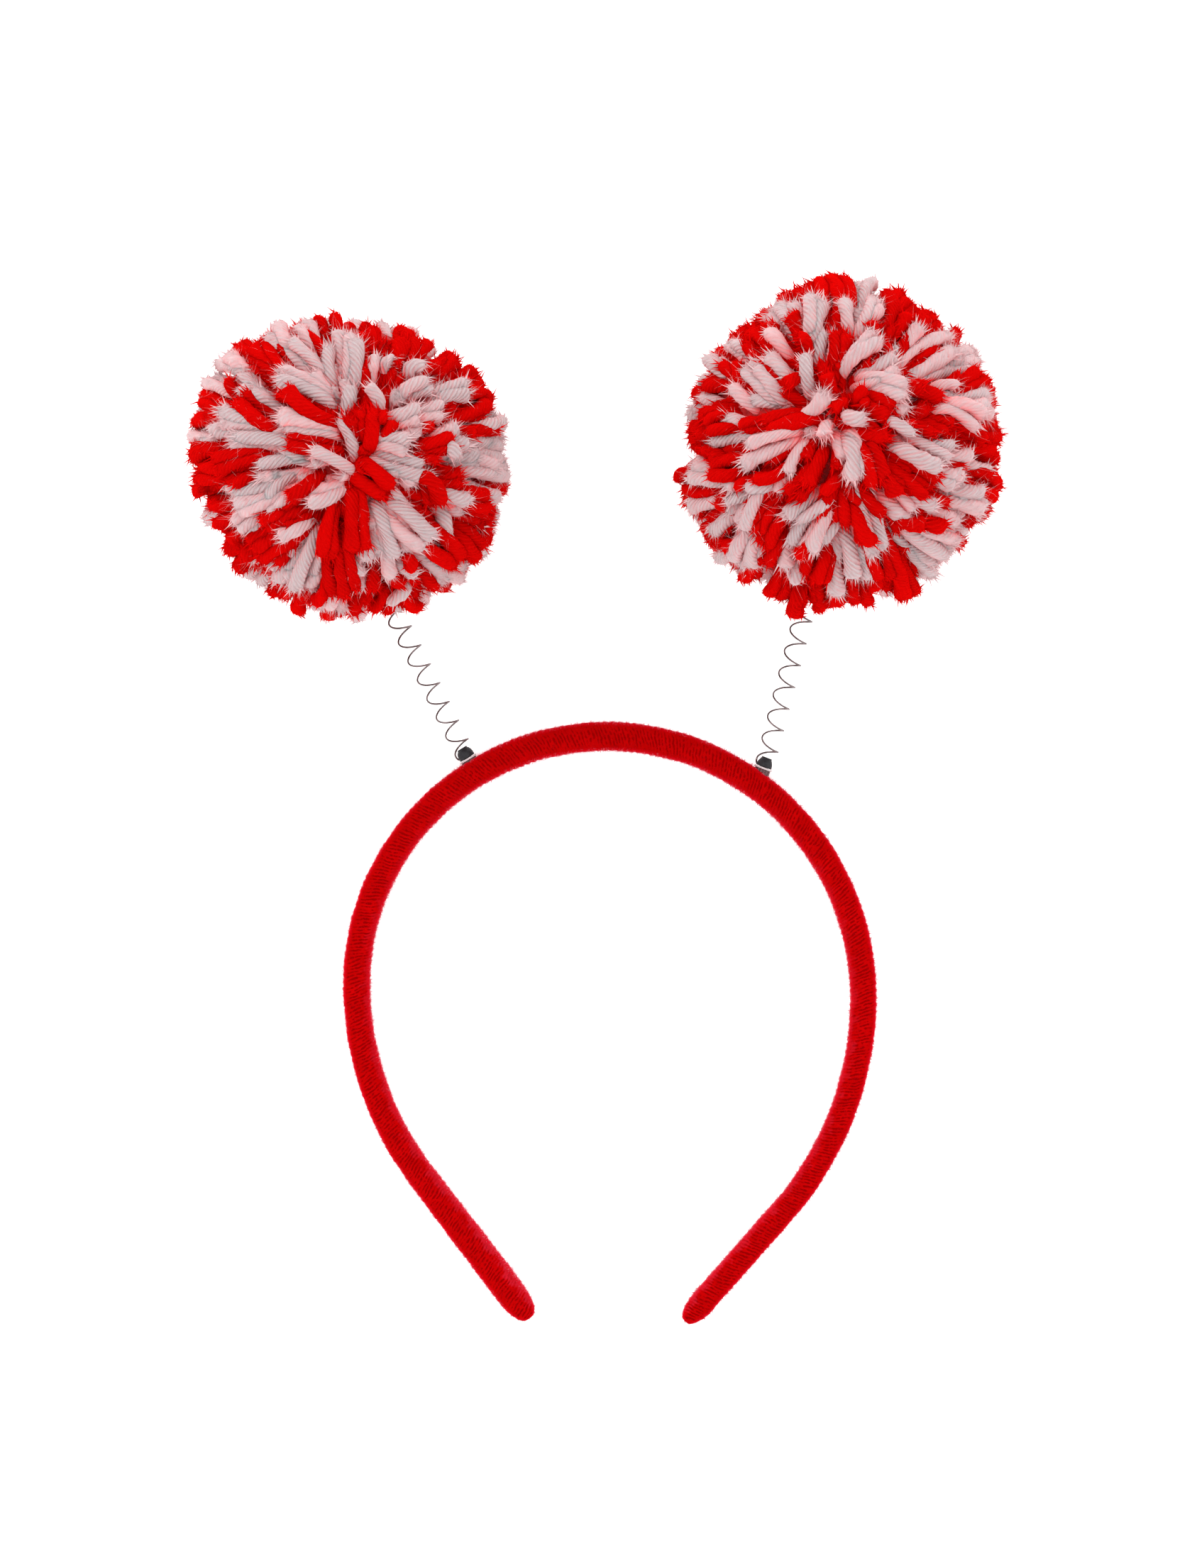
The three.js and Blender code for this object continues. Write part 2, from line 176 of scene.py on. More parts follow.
def grow(name: str, source: bpy.types.Mesh, tree: Tree, values: dict[str, object]) -> bpy.types.Object:
    """Runs a geometry tree on a mesh and keeps the result as a plain mesh object.

    Args:
        name: the new object's name.
        source: the mesh that the tree starts from.
        tree: the geometry tree.
        values: a value for each named input.

    Returns:
        The object, with no modifier left on it.
    """
    carrier = bpy.data.objects.new(name + "_source", source)
    bpy.context.scene.collection.objects.link(carrier)
    modifier = carrier.modifiers.new("grow", "NODES")
    modifier.node_group = tree.tree
    for item in tree.tree.interface.items_tree:
        if item.in_out == "INPUT" and item.name in values:
            modifier[item.identifier] = values[item.name]
    evaluated = carrier.evaluated_get(bpy.context.evaluated_depsgraph_get())
    mesh = bpy.data.meshes.new_from_object(evaluated)
    carrier.modifiers.remove(modifier)
    bpy.data.objects.remove(carrier)
    mesh.name = name
    grown = bpy.data.objects.new(name, mesh)
    bpy.context.scene.collection.objects.link(grown)
    return grown


def mesh_from(name: str, points: np.ndarray, faces: Faces, material: bpy.types.Material) -> bpy.types.Mesh:
    """A smooth closed mesh whose faces point outwards, from points in millimetres."""
    mesh = bpy.data.meshes.new(name)
    mesh.from_pydata((points * MM).tolist(), [], faces)
    work = bmesh.new()
    work.from_mesh(mesh)
    bmesh.ops.recalc_face_normals(work, faces=work.faces)
    work.to_mesh(mesh)
    work.free()
    mesh.materials.append(material)
    mesh.shade_smooth()
    return mesh


def object_from(mesh: bpy.types.Mesh) -> bpy.types.Object:
    """An object at the origin for a mesh, linked to the scene."""
    made = bpy.data.objects.new(mesh.name, mesh)
    bpy.context.scene.collection.objects.link(made)
    return made


def store(mesh: bpy.types.Mesh, name: str, values: np.ndarray) -> None:
    """Keeps a number or a vector for each point of a mesh as a named attribute."""
    vector = values.ndim == 2
    attribute = mesh.attributes.new(name, "FLOAT_VECTOR" if vector else "FLOAT", "POINT")
    attribute.data.foreach_set("vector" if vector else "value", values.astype(np.float32).ravel())


def loft_faces(rows: int, sides: int) -> Faces:
    """The faces of a closed body through rings of points, followed by its two end points."""
    first, last = rows * sides, rows * sides + 1
    faces: Faces = []
    for side in range(sides):
        after = (side + 1) % sides
        faces.append((first, after, side))
        faces.append((last, (rows - 1) * sides + side, (rows - 1) * sides + after))
        for row in range(rows - 1):
            here = row * sides
            faces.append((here + side, here + after, here + sides + after, here + sides + side))
    return faces


def loft_points(rings: np.ndarray) -> np.ndarray:
    """Rings of points (rows, sides, 3) in one list, followed by the middles of the first and last ring."""
    ends = [rings[0].mean(0), rings[-1].mean(0)]
    return np.vstack([rings.reshape(-1, 3), ends])


def dress(piece: bpy.types.Object, slot: Slot, *nodes: str) -> bpy.types.Object:
    """Fixes a piece to the part's body, hides the CAD nodes it stands for and logs its triangles and slot."""
    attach(piece, BODY)
    if nodes:
        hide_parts(*nodes)
    triangles = sum(len(face.vertices) - 2 for face in piece.data.polygons)
    log.info("%s: %d triangles, in slot %s", piece.name, triangles, slot.value)
    return piece


# Finishes


def new_material(name: str) -> tuple[bpy.types.Material, Tree]:
    """A new material and its empty tree."""
    material = bpy.data.materials.new(name)
    material.use_nodes = True
    return material, Tree(material.node_tree)


def finish_surface(tree: Tree, values: dict[str, object]) -> None:
    """Ends a material's tree in a Principled shader with these inputs."""
    shader = tree.add("ShaderNodeBsdfPrincipled", values)
    tree.add("ShaderNodeOutputMaterial", {0: shader.outputs[0]})


@dataclass(frozen=True)
class VelvetFinish:
    """Gathered velvet: short red pile, parted in dark dots along its ribs, with painted sheen where it is seen edge on,
    painted sheen flecks growing towards the tips and painted shade at the crown.
    """

    deep: Colour = (0.31, 0.0004, 0.0006)
    pile: Colour = (0.36, 0.0006, 0.0010)
    # Painted sheen: a brighter red and a pink rim where the pile is seen edge on.
    bright: Colour = (0.44, 0.0016, 0.0060)
    edge: Colour = (0.56, 0.085, 0.125)
    # Marks the partings, and also paints the shade at the crown.
    parting_and_crown_shade: Colour = (0.18, 0.0002, 0.0004)
    # Painted sheen: pale crimson flecks on crushed pile.
    sheen_flecks: Colour = (0.52, 0.022, 0.050)
    rib_pitch: float = 0.86
    dotted_half_width: float = 3.0
    # Where the crown is, and how far and how deep the painted shade at the crown goes.
    crown_at: float = 160.0
    crown_shade_reach: float = 75.0
    crown_shade: float = 0.20
    sheen_fleck_share: float = 0.30
    sheen_fleck_stops: tuple[tuple[float, Colour], ...] = ((0.80, (0, 0, 0)), (1.0, (1, 1, 1)))

    def material(self) -> bpy.types.Material:
        """The material, which reads the cover's own coordinates."""
        material, tree = new_material("velvet")
        cover = tree.attribute("cover").outputs["Vector"]
        apart = tree.add("ShaderNodeSeparateXYZ", {0: cover})
        cloud = tree.add("ShaderNodeTexNoise", {"Vector": cover, "Scale": 300.0, "Detail": 3.0}).outputs[0]
        pile = tree.mix(tree.ramp(cloud, [(0.32, (0, 0, 0)), (0.66, (1, 1, 1))]), self.deep, self.pile)
        lean = tree.math("MULTIPLY", apart.outputs[0], 0.35 * 2 * math.pi / (self.rib_pitch * MM))
        drift = tree.math("ADD", tree.math("MULTIPLY", cloud, 11.0), lean)
        turns = tree.math("MULTIPLY", apart.outputs[2], 2 * math.pi / (self.rib_pitch * MM))
        turns = tree.math("ADD", turns, drift)
        rib = tree.math("ADD", tree.math("MULTIPLY", tree.math("COSINE", turns), 0.5), 0.5)
        dots = tree.add("ShaderNodeTexNoise", {"Vector": cover, "Scale": 1150.0, "Detail": 1.5}).outputs[0]
        aside = tree.math("ABSOLUTE", apart.outputs[0])
        inner = tree.math("SUBTRACT", 1.0, tree.math("DIVIDE", aside, self.dotted_half_width * MM))
        inner = tree.add("ShaderNodeClamp", {0: inner}).outputs[0]
        parted = tree.math("SUBTRACT", 2.7, tree.math("MULTIPLY", dots, 3.6))
        parted = tree.math("MULTIPLY", tree.math("SUBTRACT", 1.0, rib), parted)
        parted = tree.math("MULTIPLY", parted, tree.math("ADD", tree.math("MULTIPLY", inner, 0.9), 0.30))
        marks = tree.ramp(parted, [(0.30, (0, 0, 0)), (0.80, (1, 1, 1))])
        pile = tree.mix(marks, pile, self.parting_and_crown_shade)
        # Painted sheen: brighter red where the pile is seen edge on, and a pink rim at the most glancing angles.
        facing = tree.add("ShaderNodeLayerWeight", {"Blend": 0.5}).outputs["Facing"]
        glow = tree.ramp(facing, [(0.30, (0, 0, 0)), (0.62, (1, 1, 1))])
        pile = tree.mix(glow, pile, self.bright)
        rim = tree.ramp(facing, [(0.70, (0, 0, 0)), (0.97, (1, 1, 1))])
        pile = tree.mix(rim, pile, self.edge)
        # Painted sheen flecks: pale crimson on crushed pile, more on the inner side and more the farther from the
        # crown.
        inwards = tree.math("DIVIDE", apart.outputs[0], -self.dotted_half_width * MM)
        crushed = tree.add("ShaderNodeTexNoise", {"Vector": cover, "Scale": 420.0, "Detail": 4.0}).outputs[0]
        sheen_fleck_mask = tree.math("ADD", tree.math("MULTIPLY", crushed, 1.8), tree.math("MULTIPLY", rib, 0.25))
        sheen_fleck_mask = tree.math("MULTIPLY", tree.math("ADD", sheen_fleck_mask, inwards), 0.5)
        from_crown = tree.math("ABSOLUTE", tree.math("SUBTRACT", apart.outputs[2], self.crown_at * MM))
        # How strong the painted sheen flecks are, growing from the crown towards the tips; no wear is meant.
        worn = tree.math("POWER", tree.math("DIVIDE", from_crown, self.crown_at * MM), 1.5)
        worn = tree.math("MULTIPLY", worn, self.sheen_fleck_share)
        pile = tree.mix(tree.math("MULTIPLY", tree.ramp(sheen_fleck_mask, self.sheen_fleck_stops), worn), pile, self.sheen_flecks)
        # Painted shade at the crown: the pile darkens towards the middle of the band's length.
        shaded = tree.math("SUBTRACT", 1.0, tree.math("DIVIDE", from_crown, self.crown_shade_reach * MM))
        shaded = tree.math("MULTIPLY", tree.add("ShaderNodeClamp", {0: shaded}).outputs[0], self.crown_shade)
        pile = tree.mix(shaded, pile, self.parting_and_crown_shade)
        grain = tree.add("ShaderNodeTexNoise", {"Vector": cover, "Scale": 3600.0, "Detail": 2.0}).outputs[0]
        height = tree.math("ADD", tree.math("MULTIPLY", grain, 0.5), tree.math("MULTIPLY", rib, 0.6))
        bump = tree.add("ShaderNodeBump", {"Height": height, "Strength": 0.6, "Distance": 0.00018})
        values = {"Base Color": pile, "Roughness": 1.0, "Specular IOR Level": 0.0, "Normal": bump.outputs[0]}
        finish_surface(tree, values)
        return material


@dataclass(frozen=True)
class PileFinish:
    """The loose ends of the velvet's pile, painted pale as sheen from so far beside the cover's middle, in millimetres.
    """

    colour: Colour = (0.38, 0.002, 0.005)
    pale: Colour = (0.56, 0.14, 0.18)
    pale_from: float = 3.0

    def material(self) -> bpy.types.Material:
        """The material, with a shade that changes from place to place."""
        material, tree = new_material("velvet_pile")
        cover = tree.attribute("cover").outputs["Vector"]
        shade = tree.add("ShaderNodeTexNoise", {"Vector": cover, "Scale": 900.0}).outputs[0]
        aside = tree.math("ABSOLUTE", tree.add("ShaderNodeSeparateXYZ", {0: cover}).outputs[0])
        # Painted sheen: hairs far beside the cover's middle turn pale pink.
        outer = tree.math("DIVIDE", aside, self.pale_from * MM)
        tone = tree.math("MULTIPLY", shade, tree.math("POWER", outer, 4.0))
        colour = tree.ramp(tone, [(0.28, self.colour), (0.70, self.pale)])
        finish_surface(tree, {"Base Color": colour, "Roughness": 1.0, "Specular IOR Level": 0.0})
        return material


@dataclass(frozen=True)
class YarnFinish:
    """Soft brushed wool in twisted plies, with painted light and shade: paler where a strand is open to the light,
    deeper in its creases and ply grooves.

    Colours are from the deepest to the palest. The lead is how far one full twist goes, in millimetres.
    """

    name: str
    crease: Colour
    middle: Colour
    crest: Colour
    streak: Colour
    # A paler colour painted on loose fibres as light, and how much of it.
    loose: Colour
    loose_share: float = 0.5
    lead: float = 14.0
    plies: float = 8.0
    glow: float = 0.6
    glow_depth: float = 2.0

    def twisted(self, tree: Tree) -> tuple[bpy.types.NodeSocket, bpy.types.NodeSocket]:
        """The yarn's own coordinates, which turn with its twist, and its plies from groove to crest.

        Args:
            tree: the material's tree.

        Returns:
            The coordinates and the plies' height from 0 to 1.
        """
        across = tree.add("ShaderNodeSeparateXYZ", {0: tree.attribute("yarn_across").outputs["Vector"]})
        along = tree.attribute("yarn_along").outputs["Fac"]
        shade = tree.attribute("yarn_shade").outputs["Fac"]
        turn = tree.math("MULTIPLY", along, 2 * math.pi / (self.lead * MM))
        angle = tree.math("ADD", tree.math("ARCTAN2", across.outputs[1], across.outputs[0]), turn)
        apart = tree.math("ADD", tree.math("MULTIPLY", along, 260.0), tree.math("MULTIPLY", shade, 10.0))
        ring = {0: tree.math("COSINE", angle), 1: tree.math("SINE", angle), 2: apart}
        place = tree.add("ShaderNodeCombineXYZ", ring).outputs[0]
        wave = tree.math("SINE", tree.math("MULTIPLY", angle, self.plies / 2))
        return place, tree.math("ABSOLUTE", wave)

    def material(self, fibres: bool = False) -> bpy.types.Material:
        """The material of the strands, or of the loose fibres on them.

        Args:
            fibres: whether it is for loose fibres, which need no relief.

        Returns:
            The material.
        """
        material, tree = new_material(f"{self.name}_yarn_{'fibres' if fibres else 'strands'}")
        place, ply = self.twisted(tree)
        shade = tree.attribute("yarn_shade").outputs["Fac"]
        outer = tree.attribute("tip_share").outputs["Fac"]
        opened = tree.attribute("yarn_open").outputs["Fac"]
        look = {"Vector": place, "Scale": 3.2, "Detail": 5.0, "Roughness": 0.75}
        hair = tree.add("ShaderNodeTexNoise", look).outputs[0]
        cloud = tree.add("ShaderNodeTexNoise", {"Vector": place, "Scale": 1.6, "Detail": 2.0}).outputs[0]
        # Painted shade in the ply grooves, fading out near the tip.
        closed = tree.math("SUBTRACT", 1.0, tree.math("POWER", outer, 4.0))
        grooved = tree.math("MULTIPLY", closed, tree.math("ADD", tree.math("MULTIPLY", shade, 0.8), 0.3))
        plied = tree.math("MULTIPLY", ply, grooved)
        # The tone paints light and shade: higher where the strand is open to the light and towards its tip, lower in
        # creases and ply grooves, with random hair, cloud and strand terms.
        tone = tree.math("MULTIPLY", opened, 0.70)
        for share, weight in ((outer, 0.25), (hair, 0.30), (cloud, 0.35), (plied, 0.30), (shade, 0.10)):
            tone = tree.math("ADD", tone, tree.math("MULTIPLY", share, weight))
        tone = tree.math("SUBTRACT", tone, 0.72)
        # The crease colour is painted shade, pink on the white yarn as if lit by light bounced off red strands; the
        # crest colour is painted light.
        colour = tree.ramp(tone, [(0.02, self.crease), (0.32, self.middle), (0.66, self.crest)])
        streak = tree.ramp(hair, [(0.30, self.streak), (0.56, (1.0, 1.0, 1.0))])
        colour = tree.mix(1.0, colour, streak, "MULTIPLY")
        # Loose fibres are mixed towards a paler colour, painted light against the shade on their thin sides.
        if fibres:
            colour = tree.mix(self.loose_share, colour, self.loose)
        values: dict[str, object] = {"Base Color": colour, "Roughness": 1.0, "Specular IOR Level": 0.0}
        if not fibres:
            height = tree.math("ADD", tree.math("MULTIPLY", hair, 0.45), tree.math("MULTIPLY", plied, 1.2))
            bump = tree.add("ShaderNodeBump", {"Height": height, "Strength": 1.0, "Distance": 0.00045})
            values["Normal"] = bump.outputs[0]
            values["Subsurface Weight"] = self.glow
            values["Subsurface Radius"] = (1.0, 0.5, 0.5)
            values["Subsurface Scale"] = self.glow_depth * MM
        finish_surface(tree, values)
        return material


@dataclass(frozen=True)
class CoreFinish:
    """The tied middle of a pompom, dark red in the gaps between its strands."""

    light: Colour = (0.42, 0.006, 0.006)
    dark: Colour = (0.24, 0.001, 0.001)

    def material(self) -> bpy.types.Material:
        """The material, mottled like packed wool."""
        material, tree = new_material("pompom_core")
        place = tree.add("ShaderNodeTexCoord").outputs["Object"]
        wool = tree.add("ShaderNodeTexNoise", {"Vector": place, "Scale": 700.0, "Detail": 4.0}).outputs[0]
        bump = tree.add("ShaderNodeBump", {"Height": wool, "Strength": 1.0, "Distance": 0.001})
        colour = tree.ramp(wool, [(0.35, self.dark), (0.65, self.light)])
        finish_surface(tree, {"Base Color": colour, "Roughness": 1.0, "Normal": bump.outputs[0]})
        return material


@dataclass(frozen=True)
class RubberFinish:
    """The caps' charcoal rubber, faintly streaked from its mould, with duller worn patches."""

    colour: Colour = (0.009, 0.008, 0.010)
    worn: Colour = (0.020, 0.019, 0.022)

    def material(self) -> bpy.types.Material:
        """The material."""
        material, tree = new_material("cap_rubber")
        place = tree.add("ShaderNodeTexCoord").outputs["Object"]
        wear = tree.add("ShaderNodeTexNoise", {"Vector": place, "Scale": 900.0, "Detail": 5.0}).outputs[0]
        grit = tree.add("ShaderNodeTexNoise", {"Vector": place, "Scale": 4200.0, "Detail": 2.0}).outputs[0]
        colour = tree.ramp(wear, [(0.45, self.colour), (0.70, self.worn)])
        bump = tree.add("ShaderNodeBump", {"Height": grit, "Strength": 0.35, "Distance": 0.00008})
        rough = tree.math("ADD", tree.math("MULTIPLY", wear, 0.3), 0.35)
        values = {"Base Color": colour, "Roughness": rough, "Specular IOR Level": 0.18, "Normal": bump.outputs[0]}
        finish_surface(tree, values)
        return material


@dataclass(frozen=True)
class ClearPlasticFinish:
    """The seats' clear moulded plastic, which takes a pink tint from the cover below it."""

    rim: Colour = (0.62, 0.54, 0.545)
    skirt: Colour = (0.10, 0.022, 0.024)
    flute: Colour = (0.035, 0.006, 0.007)

    def material(self) -> bpy.types.Material:
        """The material, pale on the flange and painted darker between the skirt's flutes as shade."""
        material, tree = new_material("seat_clear_plastic")
        place = tree.add("ShaderNodeTexCoord").outputs["Object"]
        haze = tree.add("ShaderNodeTexNoise", {"Vector": place, "Scale": 1500.0, "Detail": 3.0}).outputs[0]
        bump = tree.add("ShaderNodeBump", {"Height": haze, "Strength": 0.2, "Distance": 0.0001})
        # Painted shade between the flutes of the skirt.
        flutes = tree.mix(tree.attribute("seat_flute").outputs["Fac"], self.flute, self.skirt)
        colour = tree.mix(tree.attribute("seat_rim").outputs["Fac"], flutes, self.rim)
        values = {
            "Base Color": tree.mix(tree.math("MULTIPLY", haze, 0.1), colour, (0.7, 0.6, 0.6)),
            "Roughness": tree.math("ADD", tree.math("MULTIPLY", haze, 0.25), 0.15),
            "Transmission Weight": 0.15,
            "Specular IOR Level": 0.25,
            "IOR": 1.49,
            "Normal": bump.outputs[0],
        }
        finish_surface(tree, values)
        return material


@dataclass(frozen=True)
class WireFinish:
    """Drawn steel wire, dulled and tarnished from place to place."""

    bright: Colour = (0.19, 0.155, 0.155)
    tarnish: Colour = (0.085, 0.060, 0.060)

    def material(self) -> bpy.types.Material:
        """The material."""
        material, tree = new_material("spring_wire")
        place = tree.add("ShaderNodeTexCoord").outputs["Object"]
        tarnish = tree.add("ShaderNodeTexNoise", {"Vector": place, "Scale": 420.0, "Detail": 4.0}).outputs[0]
        colour = tree.ramp(tarnish, [(0.40, self.tarnish), (0.60, self.bright)])
        values = {
            "Base Color": colour,
            "Metallic": 1.0,
            "Roughness": tree.math("ADD", tree.math("MULTIPLY", tarnish, 0.25), 0.18),
        }
        finish_surface(tree, values)
        return material


@dataclass(frozen=True)
class FloorFinish:
    """The plain pale floor, faintly lit from behind like a product photographer's table."""

    colour: Colour = (0.93, 0.93, 0.93)
    glow: float = 0.35

    def material(self) -> bpy.types.Material:
        """The material."""
        material, tree = new_material("studio_floor")
        place = tree.add("ShaderNodeTexCoord").outputs["Object"]
        shade = tree.add("ShaderNodeTexNoise", {"Vector": place, "Scale": 3.0}).outputs[0]
        colour = tree.mix(tree.math("MULTIPLY", shade, 0.05), self.colour, (0.9, 0.9, 0.9))
        values = {"Base Color": colour, "Roughness": 0.9, "Specular IOR Level": 0.1}
        values |= {"Emission Color": (1.0, 1.0, 1.0, 1.0), "Emission Strength": self.glow}
        finish_surface(tree, values)
        return material


# Crease to crest colours paint shade and light; the white's pink crease stands for light bounced off red strands; loose
# colours are painted lighter for the fibres.
RED_YARN = YarnFinish(
    name="red",
    crease=(0.47, 0.0004, 0.0005),
    middle=(0.455, 0.0008, 0.0006),
    crest=(0.44, 0.0012, 0.0010),
    streak=(0.86, 0.86, 0.86),
    loose=(0.54, 0.0012, 0.0012),
)
WHITE_YARN = YarnFinish(
    name="white",
    crease=(0.88, 0.165, 0.17),
    middle=(0.565, 0.305, 0.31),
    crest=(0.44, 0.352, 0.357),
    streak=(0.97, 0.88, 0.88),
    loose=(0.57, 0.375, 0.38),
)
YARN_FINISHES = {Yarn.RED: RED_YARN, Yarn.WHITE: WHITE_YARN}


# Headband


@dataclass(frozen=True)
class BandSide:
    """One side of the headband in plan: where it is widest, its curl and its straight leg."""

    outward: int
    rise: float
    curl_radius: float
    curl_turn: float
    leg_length: float


@dataclass
class BandPlan:
    """The headband's centreline in plan and its section, with the CAD part's own sizes."""

    half_width: float = 62.2
    crown_rise: float = 64.2
    crown_offset: float = -0.8
    left: BandSide = BandSide(-1, 3.5, 78.0, 37.3, 43.8)
    right: BandSide = BandSide(1, 0.0, 79.5, 41.5, 35.8)
    thickness: float = 7.0
    depth: float = 8.4
    squareness: float = 2.5
    tip_length: float = 7.5
    tip_bluntness: float = 0.2
    fullness: tuple[tuple[float, float], ...] = (
        (0.0, 1.06), (0.06, 1.05), (0.13, 0.98), (0.24, 0.94), (0.36, 0.97),
        (0.5, 1.02), (0.63, 0.97), (0.76, 0.92), (0.86, 0.88), (1.0, 0.88),
    )

    def __post_init__(self) -> None:
        """Traces the centreline and finds where the CAD headband stands in the part's frame."""
        self.points = self.trace()
        steps = np.linalg.norm(np.diff(self.points, axis=0), axis=1)
        self.distances = np.concatenate([[0.0], np.cumsum(steps)])
        self.length = float(self.distances[-1])
        low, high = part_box("headband")
        widest = self.thickness / 2 * self.fullness_at(self.share_nearest(-self.half_width, self.left.rise))
        narrower = self.thickness / 2 * self.fullness_at(self.share_nearest(self.half_width, 0.0))
        top = self.thickness / 2 * self.fullness_at(self.share_nearest(self.crown_offset, self.crown_rise))
        middle = (low.x + high.x) / 2 / MM + (widest - narrower) / 2
        self.origin = np.array([middle, high.y / MM - self.crown_rise - top, 0.0])

    def trace(self) -> np.ndarray:
        """Points along the centreline, from the left tip over the crown to the right tip."""
        parts: list[np.ndarray] = []
        for side in (self.left, self.right):
            turns = np.radians(np.linspace(side.curl_turn, 0.0, 160))
            middle = side.outward * (self.half_width - side.curl_radius)
            curl = np.column_stack(
                [middle + side.outward * side.curl_radius * np.cos(turns), side.rise - side.curl_radius * np.sin(turns)]
            )
            turn = math.radians(side.curl_turn)
            leg = np.array([-side.outward * math.sin(turn), -math.cos(turn)]) * side.leg_length
            angles = np.linspace(math.pi / 2, 0.0, 260)
            reach = self.half_width - side.outward * self.crown_offset
            quarter = np.column_stack(
                [
                    self.crown_offset + side.outward * reach * np.sin(angles),
                    side.rise + (self.crown_rise - side.rise) * np.cos(angles),
                ]
            )
            tip = curl[0] + leg
            straight = np.linspace(tip, curl[0], 60, endpoint=False)
            half = np.vstack([straight, curl, quarter[1:]])
            parts.append(half)
        return np.vstack([parts[0], parts[1][::-1][1:]])

    def share_nearest(self, x: float, y: float) -> float:
        """The share of the centreline's length that is nearest to a point in plan."""
        gaps = np.hypot(self.points[:, 0] - x, self.points[:, 1] - y)
        return float(self.distances[int(gaps.argmin())] / self.length)

    def fullness_at(self, share: np.ndarray | float) -> np.ndarray | float:
        """How full the cover is at a share of the length."""
        places, shares = zip(*self.fullness)
        return np.interp(share, places, shares)

    def at(self, distance: np.ndarray) -> tuple[np.ndarray, np.ndarray]:
        """Places on the centreline and its directions there.

        Args:
            distance: distances along it from the left tip.

        Returns:
            The places and the unit directions, each as rows of x and y.
        """
        slopes = np.gradient(self.points, self.distances, axis=0)
        slopes /= np.linalg.norm(slopes, axis=1)[:, None]
        places = np.column_stack([np.interp(distance, self.distances, self.points[:, i]) for i in (0, 1)])
        directions = np.column_stack([np.interp(distance, self.distances, slopes[:, i]) for i in (0, 1)])
        return places, directions / np.linalg.norm(directions, axis=1)[:, None]

    def tip_share(self, distance: np.ndarray) -> np.ndarray:
        """How much of the section is left at a distance from the nearer tip."""
        inside = np.clip(distance / self.tip_length, 0, 1)
        return self.tip_bluntness + (1 - self.tip_bluntness) * np.sqrt(1 - (1 - inside) ** 2)

    def section(self, sides: int) -> np.ndarray:
        """The section as unit points: outwards and up."""
        angles = 2 * math.pi * (np.arange(sides) + 0.5) / sides
        flat = np.column_stack([np.cos(angles), np.sin(angles)])
        return np.sign(flat) * np.abs(flat) ** (2 / self.squareness)


